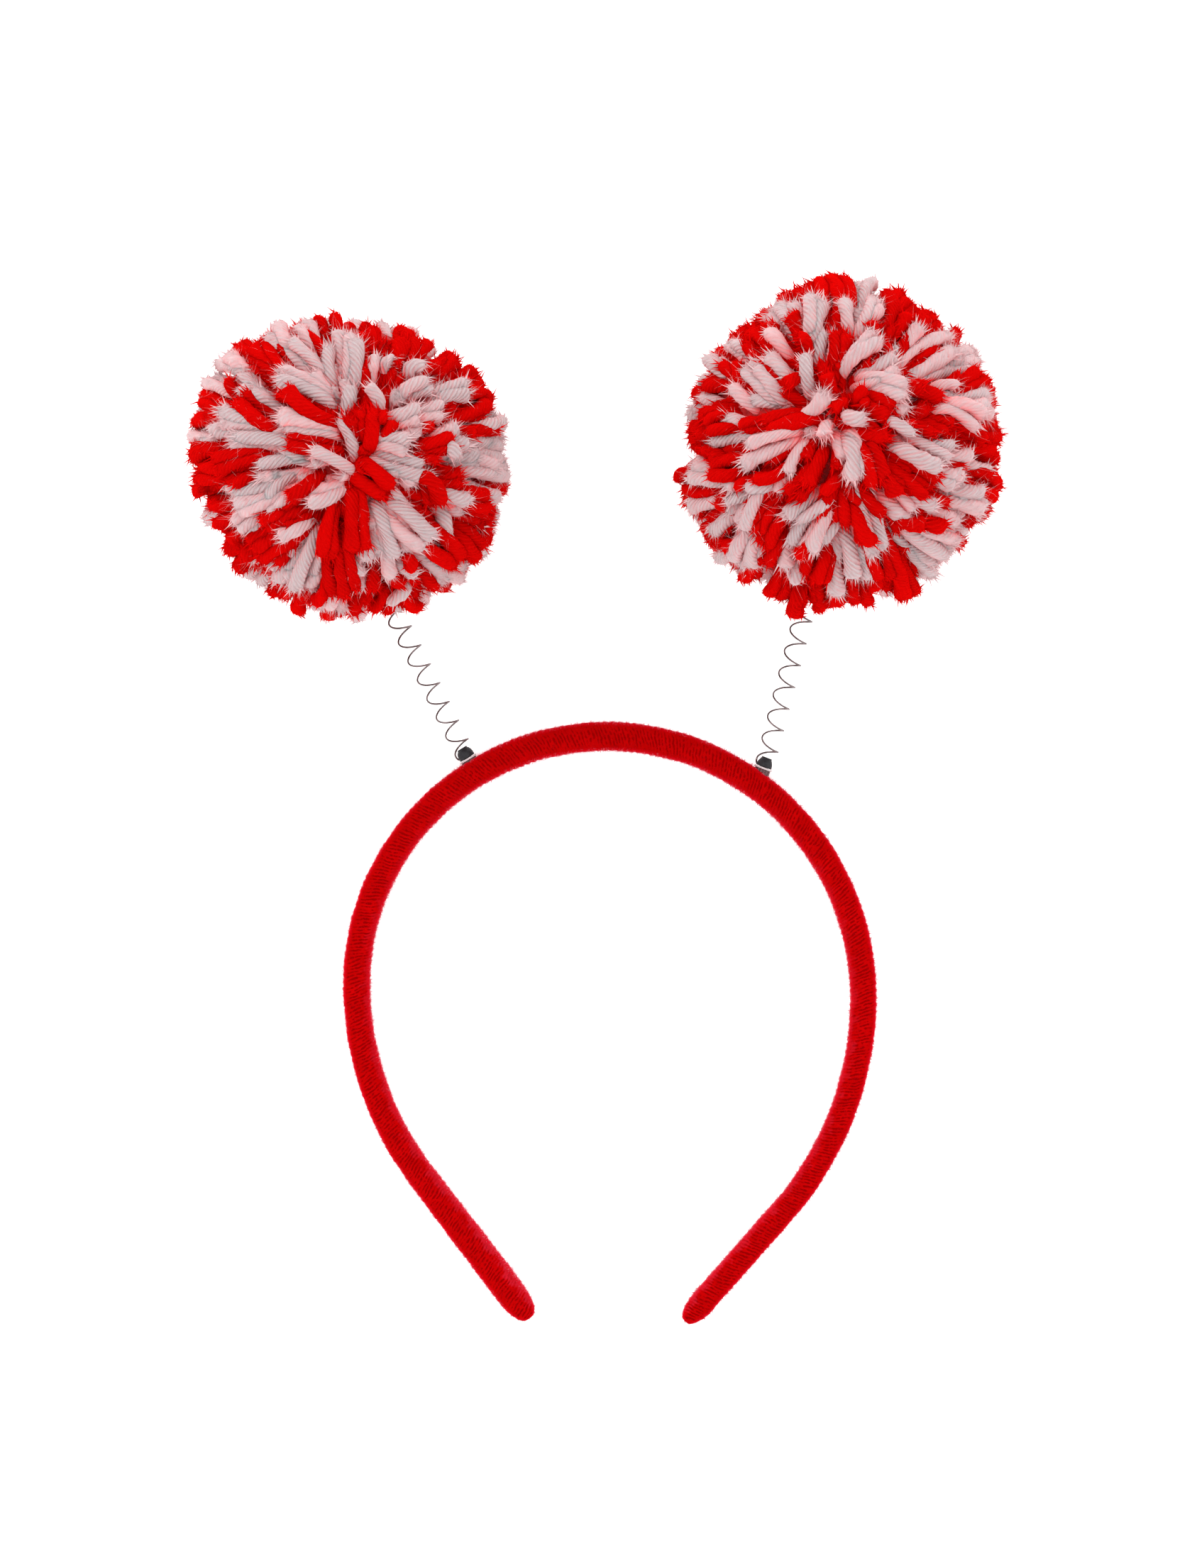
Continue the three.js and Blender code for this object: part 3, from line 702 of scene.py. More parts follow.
@dataclass
class Headband:
    """The velvet cover, gathered in fine ribs over its padding, and the loose ends of its pile."""

    plan: BandPlan
    stations: int = 960
    sides: int = 32
    rib_pitch: float = 1.7
    rib_height: float = 0.075
    waviness: float = 0.06
    pile_length: float = 0.8
    pile_radius: float = 0.055
    pile_density: float = 2.1e6

    def cover(self, material: bpy.types.Material) -> bpy.types.Mesh:
        """The cover's mesh, with its own coordinates stored on it."""
        plan = self.plan
        rng = np.random.default_rng(11)
        even = np.linspace(0, 1, self.stations)
        tips = plan.tip_length * (1 - np.cos(np.linspace(0, math.pi / 2, 22)))
        between = even * (plan.length - 2 * plan.tip_length) + plan.tip_length
        distance = np.unique(np.concatenate([tips, between, plan.length - tips]))
        places, directions = plan.at(distance)
        share = distance / plan.length
        shrink = plan.tip_share(np.minimum(distance, plan.length - distance))
        half_thick = plan.thickness / 2 * plan.fullness_at(share) * shrink
        half_deep = plan.depth / 2 * shrink
        section = plan.section(self.sides)
        around = np.arctan2(section[:, 1], section[:, 0])
        relief = self.relief(distance, around, rng) * np.minimum(1, shrink * 1.2)[:, None]
        outwards = section[None, :, 0] * (half_thick[:, None] + relief)
        upwards = section[None, :, 1] * (half_deep[:, None] + relief)
        normals = np.column_stack([-directions[:, 1], directions[:, 0]])
        rings = np.empty((len(distance), self.sides, 3))
        rings[..., 0] = plan.origin[0] + places[:, None, 0] + normals[:, None, 0] * outwards
        rings[..., 1] = plan.origin[1] + places[:, None, 1] + normals[:, None, 1] * outwards
        rings[..., 2] = np.clip(plan.depth / 2 + upwards, 0.0, None)
        mesh = mesh_from("headband_cover", loft_points(rings), loft_faces(len(distance), self.sides), material)
        cover = np.stack([outwards, upwards, np.broadcast_to(distance[:, None], outwards.shape)], axis=-1)
        ends = [[0, 0, distance[0]], [0, 0, distance[-1]]]
        store(mesh, "cover", np.vstack([cover.reshape(-1, 3), ends]) * MM)
        return mesh

    def relief(self, distance: np.ndarray, around: np.ndarray, rng: np.random.Generator) -> np.ndarray:
        """How far the cover stands out at each station and side, in millimetres.

        Args:
            distance: each station's distance from the left tip.
            around: each side's angle round the section.
            rng: the source of the gathers' unevenness.

        Returns:
            One row for each station.
        """
        drift = np.cumsum(rng.normal(0, 0.06, len(distance)))
        phase = 2 * math.pi * distance / self.rib_pitch + drift
        places = np.arange(0, self.plan.length + 2, 1.3)
        heights = rng.uniform(0.2, 1.8, 300)[: int((self.plan.length + 2) / 1.3) + 1]
        uneven = np.interp(distance, places, heights)
        ribs = self.rib_height * uneven[:, None] * np.cos(phase[:, None] + 0.9 * np.sin(3 * around[None, :]))
        waves = np.zeros_like(ribs)
        for _ in range(14):
            length = rng.uniform(4.0, 26.0)
            turn = rng.integers(0, 4)
            start = rng.uniform(0, 2 * math.pi)
            waves += np.cos(2 * math.pi * distance[:, None] / length + turn * around[None, :] + start)
        return ribs + self.waviness * waves / math.sqrt(14)

    def pile_tree(self) -> Tree:
        """The tree that stands short hairs on the cover."""
        sockets = {
            "Density": "NodeSocketFloat",
            "Length": "NodeSocketFloat",
            "Radius": "NodeSocketFloat",
            "Material": "NodeSocketMaterial",
        }
        tree, given, out = geometry_tree("velvet pile", sockets)
        points = tree.add(
            "GeometryNodeDistributePointsOnFaces",
            {"Mesh": given.outputs["Geometry"], "Density": given.outputs["Density"], "Seed": 5},
        )
        hair = tree.add(
            "GeometryNodeMeshCone",
            {"Vertices": 3, "Radius Bottom": given.outputs["Radius"], "Depth": given.outputs["Length"]},
            fill_type="NGON",
        )
        loose = tree.add(
            "FunctionNodeRandomValue", {0: (-0.9, -0.9, -0.9), 1: (0.9, 0.9, 0.9), "Seed": 3}, data_type="FLOAT_VECTOR"
        )
        aim = tree.add("ShaderNodeVectorMath", {0: points.outputs["Normal"], 1: loose.outputs[0]}, operation="ADD")
        turn = tree.add("FunctionNodeAlignRotationToVector", {"Vector": aim.outputs[0]}, axis="Z")
        size = tree.add("FunctionNodeRandomValue", {2: 0.5, 3: 1.2, "Seed": 9}, data_type="FLOAT")
        hairs = tree.add(
            "GeometryNodeInstanceOnPoints",
            {
                "Points": points.outputs["Points"],
                "Instance": hair.outputs[0],
                "Rotation": turn.outputs[0],
                "Scale": size.outputs[1],
            },
        )
        real = tree.add("GeometryNodeRealizeInstances", {0: hairs.outputs[0]})
        made = tree.add("GeometryNodeSetMaterial", {0: real.outputs[0], "Material": given.outputs["Material"]})
        tree.join(made.outputs[0], out.inputs[0])
        return tree

    def build(self) -> None:
        """Builds the cover and its pile and dresses them."""
        cover = self.cover(VelvetFinish(crown_at=self.plan.length / 2).material())
        values = {
            "Density": self.pile_density,
            "Length": self.pile_length * MM,
            "Radius": self.pile_radius * MM,
            "Material": PileFinish().material(),
        }
        pile = grow("headband_pile", cover.copy(), self.pile_tree(), values)
        keep_above_floor(pile.data)
        dress(object_from(cover), Slot.VELVET, "headband")
        dress(pile, Slot.VELVET)


def keep_above_floor(mesh: bpy.types.Mesh, lowest: float = 0.00005) -> None:
    """Moves the points of a mesh that lie below the floor up to it."""
    points = np.empty(len(mesh.vertices) * 3, np.float32)
    mesh.vertices.foreach_get("co", points)
    points = points.reshape(-1, 3)
    points[:, 2] = np.maximum(points[:, 2], lowest)
    mesh.vertices.foreach_set("co", points.ravel())
    mesh.update()


# Antennas


@dataclass(frozen=True)
class Hardware:
    """Sizes that both antennas share."""

    cap_radius: float = 2.0
    disc_radius: float = 1.3
    disc_thickness: float = 0.3
    shank_radius: float = 1.05
    cap_gap: float = 0.15
    flange_rim: float = 0.3
    flange_thickness: float = 0.4
    skirt_wall: float = 0.75
    skirt_depth: float = 1.4
    flute_depth: float = 0.25
    flute_count: int = 14
    wire_radius: float = 0.225
    coil_radius: float = 2.35
    grip_height: float = 1.6
    socket_depth: float = 12.0
    coil_gap: float = 0.3
    rest_flattening: float = 2.0


@dataclass
class Antenna:
    """Where one antenna stands, leans and reaches, as in the CAD part, and its pompom's own outline."""

    name: str
    outward: int
    stand_angle: float
    flange_standoff: float
    cap_lean: float
    cap_height: float
    cap_squareness: float
    spring_lean: float
    spring_rise: float
    spring_pitch: float
    pompom_lean: float
    pompom_reach: float
    pompom_radius: float
    outline: tuple[float, ...]
    plan: BandPlan
    sizes: Hardware = field(default_factory=Hardware)

    def __post_init__(self) -> None:
        """Finds the antenna's foot, its pompom's middle and its coil's axis."""
        side = self.plan.left if self.outward < 0 else self.plan.right
        angle = math.radians(self.stand_angle)
        height = self.plan.crown_rise - side.rise
        reach = self.plan.half_width - self.outward * self.plan.crown_offset
        x = self.plan.crown_offset + self.outward * reach * math.sin(angle)
        y = side.rise + height * math.cos(angle)
        outwards = np.array([self.outward * height * math.sin(angle), reach * math.cos(angle)])
        outwards /= np.linalg.norm(outwards)
        half = self.plan.thickness / 2 * self.plan.fullness_at(self.plan.share_nearest(x, y))
        stand = np.array([x + outwards[0] * half, y + outwards[1] * half, self.plan.depth / 2]) + self.plan.origin
        turn = Matrix.Rotation(-self.outward * math.radians(self.cap_lean), 4, "Z")
        self.stand = Matrix.Translation(stand.tolist()) @ turn
        self.cap_foot = self.flange_standoff + self.sizes.flange_thickness + self.sizes.cap_gap
        self.foot = np.array(self.stand @ Vector((0, self.cap_foot + self.sizes.grip_height, 0)))
        self.centre = self.pompom_centre()
        lean, rise = math.radians(self.spring_lean), math.radians(self.spring_rise)
        self.axis = np.array(
            [self.outward * math.sin(lean) * math.cos(rise), math.cos(lean) * math.cos(rise), math.sin(rise)]
        )

    def pompom_centre(self) -> np.ndarray:
        """The middle of the pompom, which rests on the floor."""
        height = self.pompom_radius - self.sizes.rest_flattening
        level = math.sqrt((self.pompom_reach + self.pompom_radius) ** 2 - (height - self.foot[2]) ** 2)
        lean = math.radians(self.pompom_lean)
        x = self.foot[0] + self.outward * level * math.sin(lean)
        return np.array([x, self.foot[1] + level * math.cos(lean), height])

    def outline_share(self, azimuth: np.ndarray) -> np.ndarray:
        """The pompom's outline in plan in a direction, as a share of its radius."""
        places = np.linspace(0, 2 * math.pi, len(self.outline) + 1)
        return np.interp(np.mod(azimuth, 2 * math.pi), places, [*self.outline, self.outline[0]])


def turned(stand: Matrix, profile: list[tuple[float, float]], sides: int) -> tuple[np.ndarray, Faces]:
    """A body turned on a stand's own axis.

    Args:
        stand: places the axis, which is its +Y.
        profile: radius and height, from one end of the axis to the other.
        sides: how many sides it has.

    Returns:
        Its points in millimetres and its faces.
    """
    rings = []
    for radius, height in profile[1:-1]:
        angles = 2 * math.pi * np.arange(sides) / sides
        rings.append(np.column_stack([radius * np.cos(angles), np.full(sides, height), radius * np.sin(angles)]))
    ends = [[0.0, profile[0][1], 0.0], [0.0, profile[-1][1], 0.0]]
    points = np.vstack([np.array(rings).reshape(-1, 3), ends])
    return placed(points, stand), loft_faces(len(rings), sides)


def placed(points: np.ndarray, stand: Matrix) -> np.ndarray:
    """Points moved from a stand's own frame to the part's."""
    turn = np.array(stand)
    return points @ turn[:3, :3].T + turn[:3, 3]


def rounded(profile: list[tuple[float, float]], reach: float, steps: int = 4) -> list[tuple[float, float]]:
    """A profile whose inner corners are rounded.

    Args:
        profile: the sharp profile.
        reach: how far from a corner its rounding starts.
        steps: how many edges a rounding has.

    Returns:
        The rounded profile.
    """
    soft = [profile[0]]
    for before, corner, after in zip(profile, profile[1:], profile[2:]):
        before, corner, after = (np.array(point) for point in (before, corner, after))
        start = corner + (before - corner) * min(0.45, reach / max(1e-9, np.linalg.norm(before - corner)))
        end = corner + (after - corner) * min(0.45, reach / max(1e-9, np.linalg.norm(after - corner)))
        for step in range(steps + 1):
            t = step / steps
            point = start * (1 - t) ** 2 + corner * 2 * t * (1 - t) + end * t * t
            soft.append((float(point[0]), float(point[1])))
    soft.append(profile[-1])
    return soft


@dataclass
class Stand:
    """A cap on its clear seat, where a spring leaves the headband."""

    antenna: Antenna
    sides: int = 40
    edge: float = 0.1

    def cap(self, material: bpy.types.Material) -> bpy.types.Mesh:
        """The domed cap with its small top disc and its shank."""
        ant, sizes = self.antenna, self.antenna.sizes
        dome = ant.cap_height - sizes.disc_thickness
        foot = ant.cap_foot
        profile = [(0.0, sizes.cap_gap), (sizes.shank_radius, sizes.cap_gap), (sizes.shank_radius, foot),
                   (sizes.cap_radius, foot)]
        for up in np.linspace(0.15, 0.95, 9):
            reach = (sizes.cap_radius - sizes.disc_radius) * (1 - up ** ant.cap_squareness)
            profile.append((sizes.disc_radius + reach, foot + float(up) * dome))
        profile += [(sizes.disc_radius, foot + dome), (sizes.disc_radius, foot + ant.cap_height),
                    (0.0, foot + ant.cap_height)]
        points, faces = turned(ant.stand, rounded(profile, self.edge), self.sides)
        return mesh_from(f"{ant.name}_cap_rubber", points, faces, material)

    def seat(self, material: bpy.types.Material) -> bpy.types.Mesh:
        """The fluted skirt and the thin flange above it."""
        ant, sizes = self.antenna, self.antenna.sizes
        skirt = sizes.shank_radius + sizes.cap_gap + sizes.skirt_wall
        rim = sizes.cap_radius + sizes.flange_rim
        low = ant.flange_standoff
        high = low + sizes.flange_thickness
        inner = sizes.shank_radius + 0.02
        groove = (low + high) / 2
        profile = [(inner, -sizes.skirt_depth), (skirt, -sizes.skirt_depth), (skirt, low - 0.02), (skirt + 0.05, low),
                   (rim, low), (rim, groove - 0.06), (rim - 0.16, groove), (rim, groove + 0.06), (rim, high),
                   (inner, high)]
        ring = rounded([(inner, -sizes.skirt_depth / 2), *profile, (inner, 0.0)], 0.06, 3)
        count = sizes.flute_count * 6
        angles = 2 * math.pi * np.arange(count) / count
        flute = sizes.flute_depth / 2 * (np.cos(angles * sizes.flute_count) - 1)
        rings = []
        for radius, height in ring:
            fluted = flute if height < low - 0.01 and radius > inner + 0.2 else 0.0
            reach = radius + fluted
            rings.append(np.column_stack([reach * np.cos(angles), np.full(count, height), reach * np.sin(angles)]))
        on_rim = np.repeat([1.0 if height > low - 0.01 and radius > skirt else 0.0 for radius, height in ring], count)
        points = placed(np.array(rings).reshape(-1, 3), ant.stand)
        faces: Faces = []
        for row in range(len(rings)):
            here, there = row * count, (row + 1) % len(rings) * count
            faces += [(here + i, here + (i + 1) % count, there + (i + 1) % count, there + i) for i in range(count)]
        mesh = mesh_from(f"{ant.name}_seat_clear", points, faces, material)
        store(mesh, "seat_rim", on_rim)
        store(mesh, "seat_flute", np.tile(np.cos(angles * sizes.flute_count) * 0.5 + 0.5, len(rings)))
        return mesh

    def build(self, rubber: bpy.types.Material, clear: bpy.types.Material) -> None:
        """Builds the cap and the seat and dresses them."""
        name = self.antenna.name
        dress(object_from(self.cap(rubber)), Slot.PLASTIC, f"{name}_cap")
        dress(object_from(self.seat(clear)), Slot.CLEAR_PLASTIC, f"{name}_seat")


@dataclass
class Spring:
    """The open coil of wire, with its end hooked into the cap."""

    antenna: Antenna
    steps_per_turn: int = 40
    wire_sides: int = 10
    hook_length: float = 1.3
    hook_depth: float = 0.75

    def path(self) -> np.ndarray:
        """The wire's centreline, in millimetres."""
        ant, sizes = self.antenna, self.antenna.sizes
        to_centre = ant.centre - ant.foot
        nearest = float(to_centre @ ant.axis)
        beside = float(to_centre @ to_centre) - nearest**2
        surface = nearest - math.sqrt(ant.pompom_radius**2 - beside)
        length = surface + sizes.socket_depth - sizes.coil_gap
        across = np.cross(ant.axis, [0.0, 0.0, 1.0])
        across /= np.linalg.norm(across)
        upwards = np.cross(across, ant.axis)
        turns = length / ant.spring_pitch
        share = np.linspace(0, 1, int(turns * self.steps_per_turn))
        turn = math.pi * (2 * turns * share - 1)
        coil = (
            ant.foot
            + ant.axis * (length * share)[:, None]
            + across * (sizes.coil_radius * np.cos(turn))[:, None]
            + upwards * (sizes.coil_radius * np.sin(turn))[:, None]
        )
        bend = np.linspace(1, 0, 14, endpoint=False)[:, None]
        inwards = (ant.foot - coil[0]) / np.linalg.norm(ant.foot - coil[0])
        hook = coil[0] - ant.axis * self.hook_length * np.sin(bend * math.pi / 2) + inwards * self.hook_depth * bend**2
        return np.vstack([hook, coil])

    def wire_tree(self) -> Tree:
        """The tree that draws a round wire along a path."""
        sockets = {"Radius": "NodeSocketFloat", "Sides": "NodeSocketInt", "Material": "NodeSocketMaterial"}
        tree, given, out = geometry_tree("spring wire", sockets)
        path = tree.add("GeometryNodeMeshToCurve", {0: given.outputs["Geometry"]})
        ring = tree.add(
            "GeometryNodeCurvePrimitiveCircle",
            {"Resolution": given.outputs["Sides"], "Radius": given.outputs["Radius"]},
        )
        wire = tree.add(
            "GeometryNodeCurveToMesh", {"Curve": path.outputs[0], "Profile Curve": ring.outputs[0], "Fill Caps": True}
        )
        smooth = tree.add("GeometryNodeSetShadeSmooth", {0: wire.outputs[0]})
        real = tree.add("GeometryNodeRealizeInstances", {0: smooth.outputs[0]})
        made = tree.add("GeometryNodeSetMaterial", {0: real.outputs[0], "Material": given.outputs["Material"]})
        tree.join(made.outputs[0], out.inputs[0])
        return tree

    def build(self, material: bpy.types.Material) -> None:
        """Builds the wire and dresses it."""
        name = self.antenna.name
        points = self.path()
        line = bpy.data.meshes.new(f"{name}_spring_path")
        line.from_pydata((points * MM).tolist(), [(i, i + 1) for i in range(len(points) - 1)], [])
        values = {"Radius": self.antenna.sizes.wire_radius * MM, "Sides": self.wire_sides, "Material": material}
        wire = grow(f"{name}_spring_wire", line, self.wire_tree(), values)
        dress(wire, Slot.WIRE, f"{name}_spring")


# Pompoms


@dataclass(frozen=True)
class LockChart:
    """The locks that show from above, as tip and root places on a square sheet, and how many strands each has.

    A row is tip across, tip down, root across, root down and strands, in the sheet's own units.
    """

    middle: tuple[float, float]
    radius: float
    hub: tuple[float, float]
    locks: dict[Yarn, tuple[tuple[int, int, int, int, int], ...]]
    strays: tuple[tuple[Yarn, int, int, int, int, float], ...] = ()
    white_bias: float = 1.5


LEFT_CHART = LockChart(
    middle=(75.3, 76.9),
    radius=67.2,
    hub=(79.0, 76.0),
    locks={
        Yarn.WHITE: (
            (60, 73, 78, 85, 1), (73, 57, 79, 79, 1), (46, 59, 72, 64, 2), (22, 58, 47, 64, 2),
            (16, 64, 42, 63, 1), (25, 69, 56, 73, 2), (35, 81, 60, 76, 2), (57, 92, 76, 86, 2),
            (26, 95, 52, 87, 3), (40, 98, 54, 86, 2), (26, 106, 38, 100, 2), (47, 109, 59, 104, 1),
            (42, 128, 62, 108, 2), (53, 132, 63, 108, 3), (79, 125, 78, 118, 2), (68, 140, 68, 131, 3),
            (60, 134, 63, 128, 2), (80, 132, 84, 129, 1), (93, 137, 100, 131, 1), (87, 120, 84, 92, 2),
            (94, 126, 88, 98, 1), (98, 117, 90, 95, 2), (109, 111, 93, 98, 2), (105, 124, 101, 120, 1),
            (117, 128, 108, 117, 2), (126, 125, 112, 118, 2), (118, 110, 117, 98, 1),
            (102, 99, 86, 77, 1), (105, 88, 89, 75, 1), (112, 84, 88, 73, 1), (109, 79, 87, 72, 1),
            (104, 71, 89, 69, 2), (104, 63, 94, 63, 1), (108, 56, 95, 58, 2), (118, 54, 106, 56, 2),
            (99, 48, 92, 52, 1), (113, 43, 102, 50, 2), (128, 46, 116, 50, 2), (124, 62, 114, 62, 1),
            (128, 70, 115, 65, 1), (120, 76, 116, 73, 1), (143, 76, 128, 74, 3), (144, 86, 128, 82, 2),
            (139, 94, 128, 88, 2), (126, 93, 116, 90, 1), (140, 60, 132, 60, 1), (85, 43, 87, 53, 1),
            (88, 29, 88, 35, 1), (96, 33, 95, 36, 1), (108, 36, 104, 38, 1), (77, 43, 74, 55, 1),
            (74, 17, 74, 36, 2), (67, 24, 70, 38, 1), (79, 22, 78, 40, 1), (54, 14, 60, 24, 2),
            (46, 18, 52, 26, 1), (40, 23, 56, 38, 1), (51, 24, 66, 36, 1), (46, 39, 69, 49, 2),
            (60, 37, 72, 48, 1), (30, 38, 41, 44, 1), (27, 44, 42, 52, 1), (22, 33, 30, 38, 2),
            (13, 43, 24, 47, 1), (8, 66, 16, 65, 1), (20, 90, 28, 88, 1), (33, 122, 38, 116, 1),
            (76, 21, 77, 33, 1), (134, 105, 128, 100, 1),
        ),
        Yarn.RED: (
            (6, 46, 26, 53, 2), (6, 59, 24, 60, 1), (8, 73, 26, 70, 2), (9, 82, 37, 78, 2),
            (20, 79, 40, 76, 2), (27, 87, 36, 82, 1), (17, 96, 25, 96, 1), (19, 104, 27, 100, 1),
            (23, 113, 30, 112, 1), (33, 116, 56, 103, 3), (30, 119, 44, 112, 1), (37, 127, 52, 112, 2),
            (24, 42, 26, 47, 1), (28, 48, 44, 60, 2), (27, 25, 48, 38, 2), (36, 24, 50, 38, 2),
            (30, 35, 44, 42, 1), (43, 43, 70, 60, 2), (50, 47, 73, 58, 1), (48, 67, 73, 70, 2),
            (51, 92, 62, 83, 1), (53, 19, 61, 27, 1), (62, 11, 65, 15, 1), (70, 11, 72, 15, 1),
            (80, 22, 83, 50, 2), (88, 21, 88, 45, 3), (97, 21, 94, 44, 3), (103, 21, 100, 38, 2),
            (94, 58, 85, 70, 2), (79, 55, 83, 68, 2), (87, 54, 85, 70, 1), (112, 24, 106, 34, 1),
            (122, 31, 112, 37, 1), (117, 34, 110, 38, 1), (133, 40, 124, 42, 2), (137, 51, 121, 55, 3),
            (113, 60, 106, 62, 1), (121, 68, 106, 70, 2), (125, 84, 113, 85, 2), (114, 77, 104, 74, 1),
            (139, 63, 130, 62, 1), (131, 65, 126, 60, 1), (135, 94, 124, 92, 2), (136, 108, 124, 104, 2),
            (130, 115, 124, 108, 2), (121, 118, 104, 106, 2), (108, 104, 100, 96, 2),
            (113, 96, 106, 86, 2), (95, 91, 81, 76, 2), (80, 116, 79, 88, 2), (67, 118, 72, 92, 2),
            (75, 134, 72, 108, 3), (62, 136, 64, 128, 1), (85, 130, 84, 122, 1), (98, 130, 96, 122, 1),
            (101, 119, 98, 117, 1), (84, 139, 88, 134, 2), (92, 140, 94, 136, 1), (103, 138, 100, 130, 2),
            (113, 130, 107, 122, 1), (143, 89, 136, 90, 1), (38, 105, 58, 98, 2), (46, 102, 60, 94, 2),
            (50, 134, 52, 130, 1), (44, 22, 52, 34, 1),
        ),
    },
)
RIGHT_CHART = LockChart(
    middle=(77.1, 78.2),
    radius=66.5,
    hub=(77.0, 64.0),
    locks={
        Yarn.WHITE: (
            (74, 55, 62, 59, 1), (72, 73, 74, 66, 1), (88, 66, 86, 62, 1), (85, 91, 81, 71, 2),
            (64, 40, 64, 53, 1), (93, 33, 76, 45, 2), (102, 43, 84, 47, 2), (105, 56, 86, 47, 2),
            (106, 63, 90, 50, 1), (79, 20, 81, 29, 1), (94, 19, 86, 29, 2), (92, 11, 88, 18, 1),
            (50, 20, 60, 31, 2), (58, 18, 63, 31, 1), (69, 19, 66, 33, 2), (74, 29, 70, 44, 2),
            (49, 31, 56, 39, 1), (33, 33, 40, 37, 1), (110, 28, 102, 36, 1), (126, 34, 106, 46, 2),
            (134, 40, 108, 48, 2), (138, 47, 110, 50, 1), (125, 53, 116, 53, 1), (139, 58, 121, 59, 2),
            (134, 69, 120, 62, 2), (142, 64, 134, 63, 1), (108, 73, 99, 66, 1), (122, 86, 103, 76, 2),
            (126, 77, 112, 77, 1), (132, 81, 124, 79, 1), (127, 91, 114, 84, 2), (140, 88, 130, 87, 1),
            (139, 99, 126, 96, 2), (116, 101, 110, 96, 1), (108, 107, 96, 96, 2), (94, 122, 87, 92, 2),
            (137, 105, 124, 104, 2), (129, 113, 104, 105, 2), (126, 119, 103, 108, 2),
            (121, 125, 101, 110, 2), (117, 131, 99, 113, 1), (87, 134, 80, 116, 2), (77, 139, 76, 122, 1),
            (69, 118, 77, 112, 1), (59, 121, 70, 104, 2), (66, 120, 73, 106, 1), (57, 108, 72, 98, 2),
            (56, 128, 53, 117, 1), (60, 133, 62, 128, 1), (51, 97, 65, 75, 1), (57, 89, 67, 74, 1),
            (38, 85, 61, 73, 1), (40, 93, 50, 88, 1), (40, 77, 61, 70, 1), (28, 65, 56, 62, 1),
            (33, 52, 40, 61, 1), (36, 41, 52, 57, 2), (44, 40, 54, 55, 2), (24, 42, 30, 47, 1),
            (18, 56, 26, 58, 1), (21, 75, 36, 72, 1), (14, 87, 32, 94, 2), (30, 95, 40, 92, 1),
            (16, 102, 28, 100, 1), (24, 114, 32, 104, 1), (25, 126, 31, 116, 1), (35, 127, 46, 112, 2),
            (42, 127, 48, 114, 1), (31, 101, 42, 96, 1), (36, 112, 43, 97, 2),
        ),
        Yarn.RED: (
            (64, 8, 70, 24, 1), (70, 10, 73, 25, 1), (76, 8, 76, 26, 2), (84, 9, 79, 27, 2),
            (60, 15, 64, 22, 1), (58, 25, 60, 32, 1), (62, 34, 64, 40, 1), (79, 29, 72, 50, 2),
            (48, 27, 53, 41, 1), (42, 27, 50, 40, 2), (38, 33, 47, 40, 1), (20, 50, 34, 52, 2),
            (28, 44, 35, 52, 1), (33, 41, 38, 50, 1), (15, 54, 22, 57, 1), (20, 60, 31, 60, 1),
            (20, 66, 31, 64, 2), (23, 71, 33, 68, 1), (16, 73, 24, 74, 1), (17, 79, 24, 80, 1),
            (6, 91, 16, 88, 1), (12, 95, 24, 94, 1), (12, 101, 20, 101, 1), (20, 114, 28, 110, 1),
            (22, 118, 30, 112, 1), (26, 101, 33, 108, 1), (30, 119, 38, 114, 1), (39, 132, 46, 124, 1),
            (47, 118, 56, 107, 2), (48, 126, 54, 114, 1), (40, 108, 56, 98, 3), (44, 117, 57, 102, 2),
            (22, 84, 38, 84, 2), (26, 89, 38, 87, 1), (37, 94, 44, 92, 1), (34, 69, 46, 69, 1),
            (45, 70, 70, 64, 2), (44, 90, 55, 84, 1), (58, 98, 68, 80, 2), (64, 94, 70, 80, 1),
            (47, 38, 59, 55, 2), (55, 53, 60, 50, 1), (74, 62, 78, 57, 1), (80, 69, 80, 60, 1),
            (87, 58, 81, 56, 1), (72, 47, 76, 56, 1), (100, 64, 86, 56, 2), (98, 75, 84, 66, 2),
            (120, 57, 100, 50, 1), (112, 53, 98, 48, 1), (126, 70, 106, 60, 2), (117, 73, 104, 64, 1),
            (97, 14, 92, 30, 1), (104, 16, 94, 30, 2), (106, 24, 96, 31, 1), (90, 27, 90, 33, 1),
            (97, 35, 95, 40, 1), (112, 25, 104, 41, 1), (118, 24, 106, 41, 2), (125, 31, 110, 40, 1),
            (129, 48, 122, 57, 1), (136, 48, 124, 57, 2), (141, 56, 128, 59, 1), (144, 68, 130, 71, 1),
            (145, 73, 130, 73, 1), (136, 76, 126, 73, 1), (141, 80, 132, 78, 1), (142, 92, 134, 90, 1),
            (141, 98, 134, 95, 1), (128, 88, 122, 84, 1), (139, 103, 126, 101, 1), (124, 102, 113, 98, 1),
            (112, 108, 104, 106, 1), (120, 110, 112, 108, 1), (116, 95, 96, 82, 3), (104, 95, 92, 82, 2),
            (97, 106, 90, 92, 1), (94, 94, 86, 72, 2), (89, 117, 83, 101, 2), (72, 110, 82, 91, 2),
            (71, 96, 80, 87, 1), (134, 111, 126, 106, 1), (106, 139, 97, 116, 2), (98, 133, 91, 118, 2),
            (92, 139, 89, 122, 1), (84, 142, 83, 134, 1), (66, 131, 71, 120, 2), (71, 133, 75, 120, 1),
            (62, 122, 68, 117, 1), (48, 139, 54, 128, 1), (54, 144, 59, 130, 2), (62, 141, 64, 130, 1),
            (69, 145, 70, 132, 2), (77, 144, 77, 133, 1),
        ),
    },
    strays=((Yarn.RED, 59, 149, 62, 138, 1.0),),
    white_bias=3.0,
)


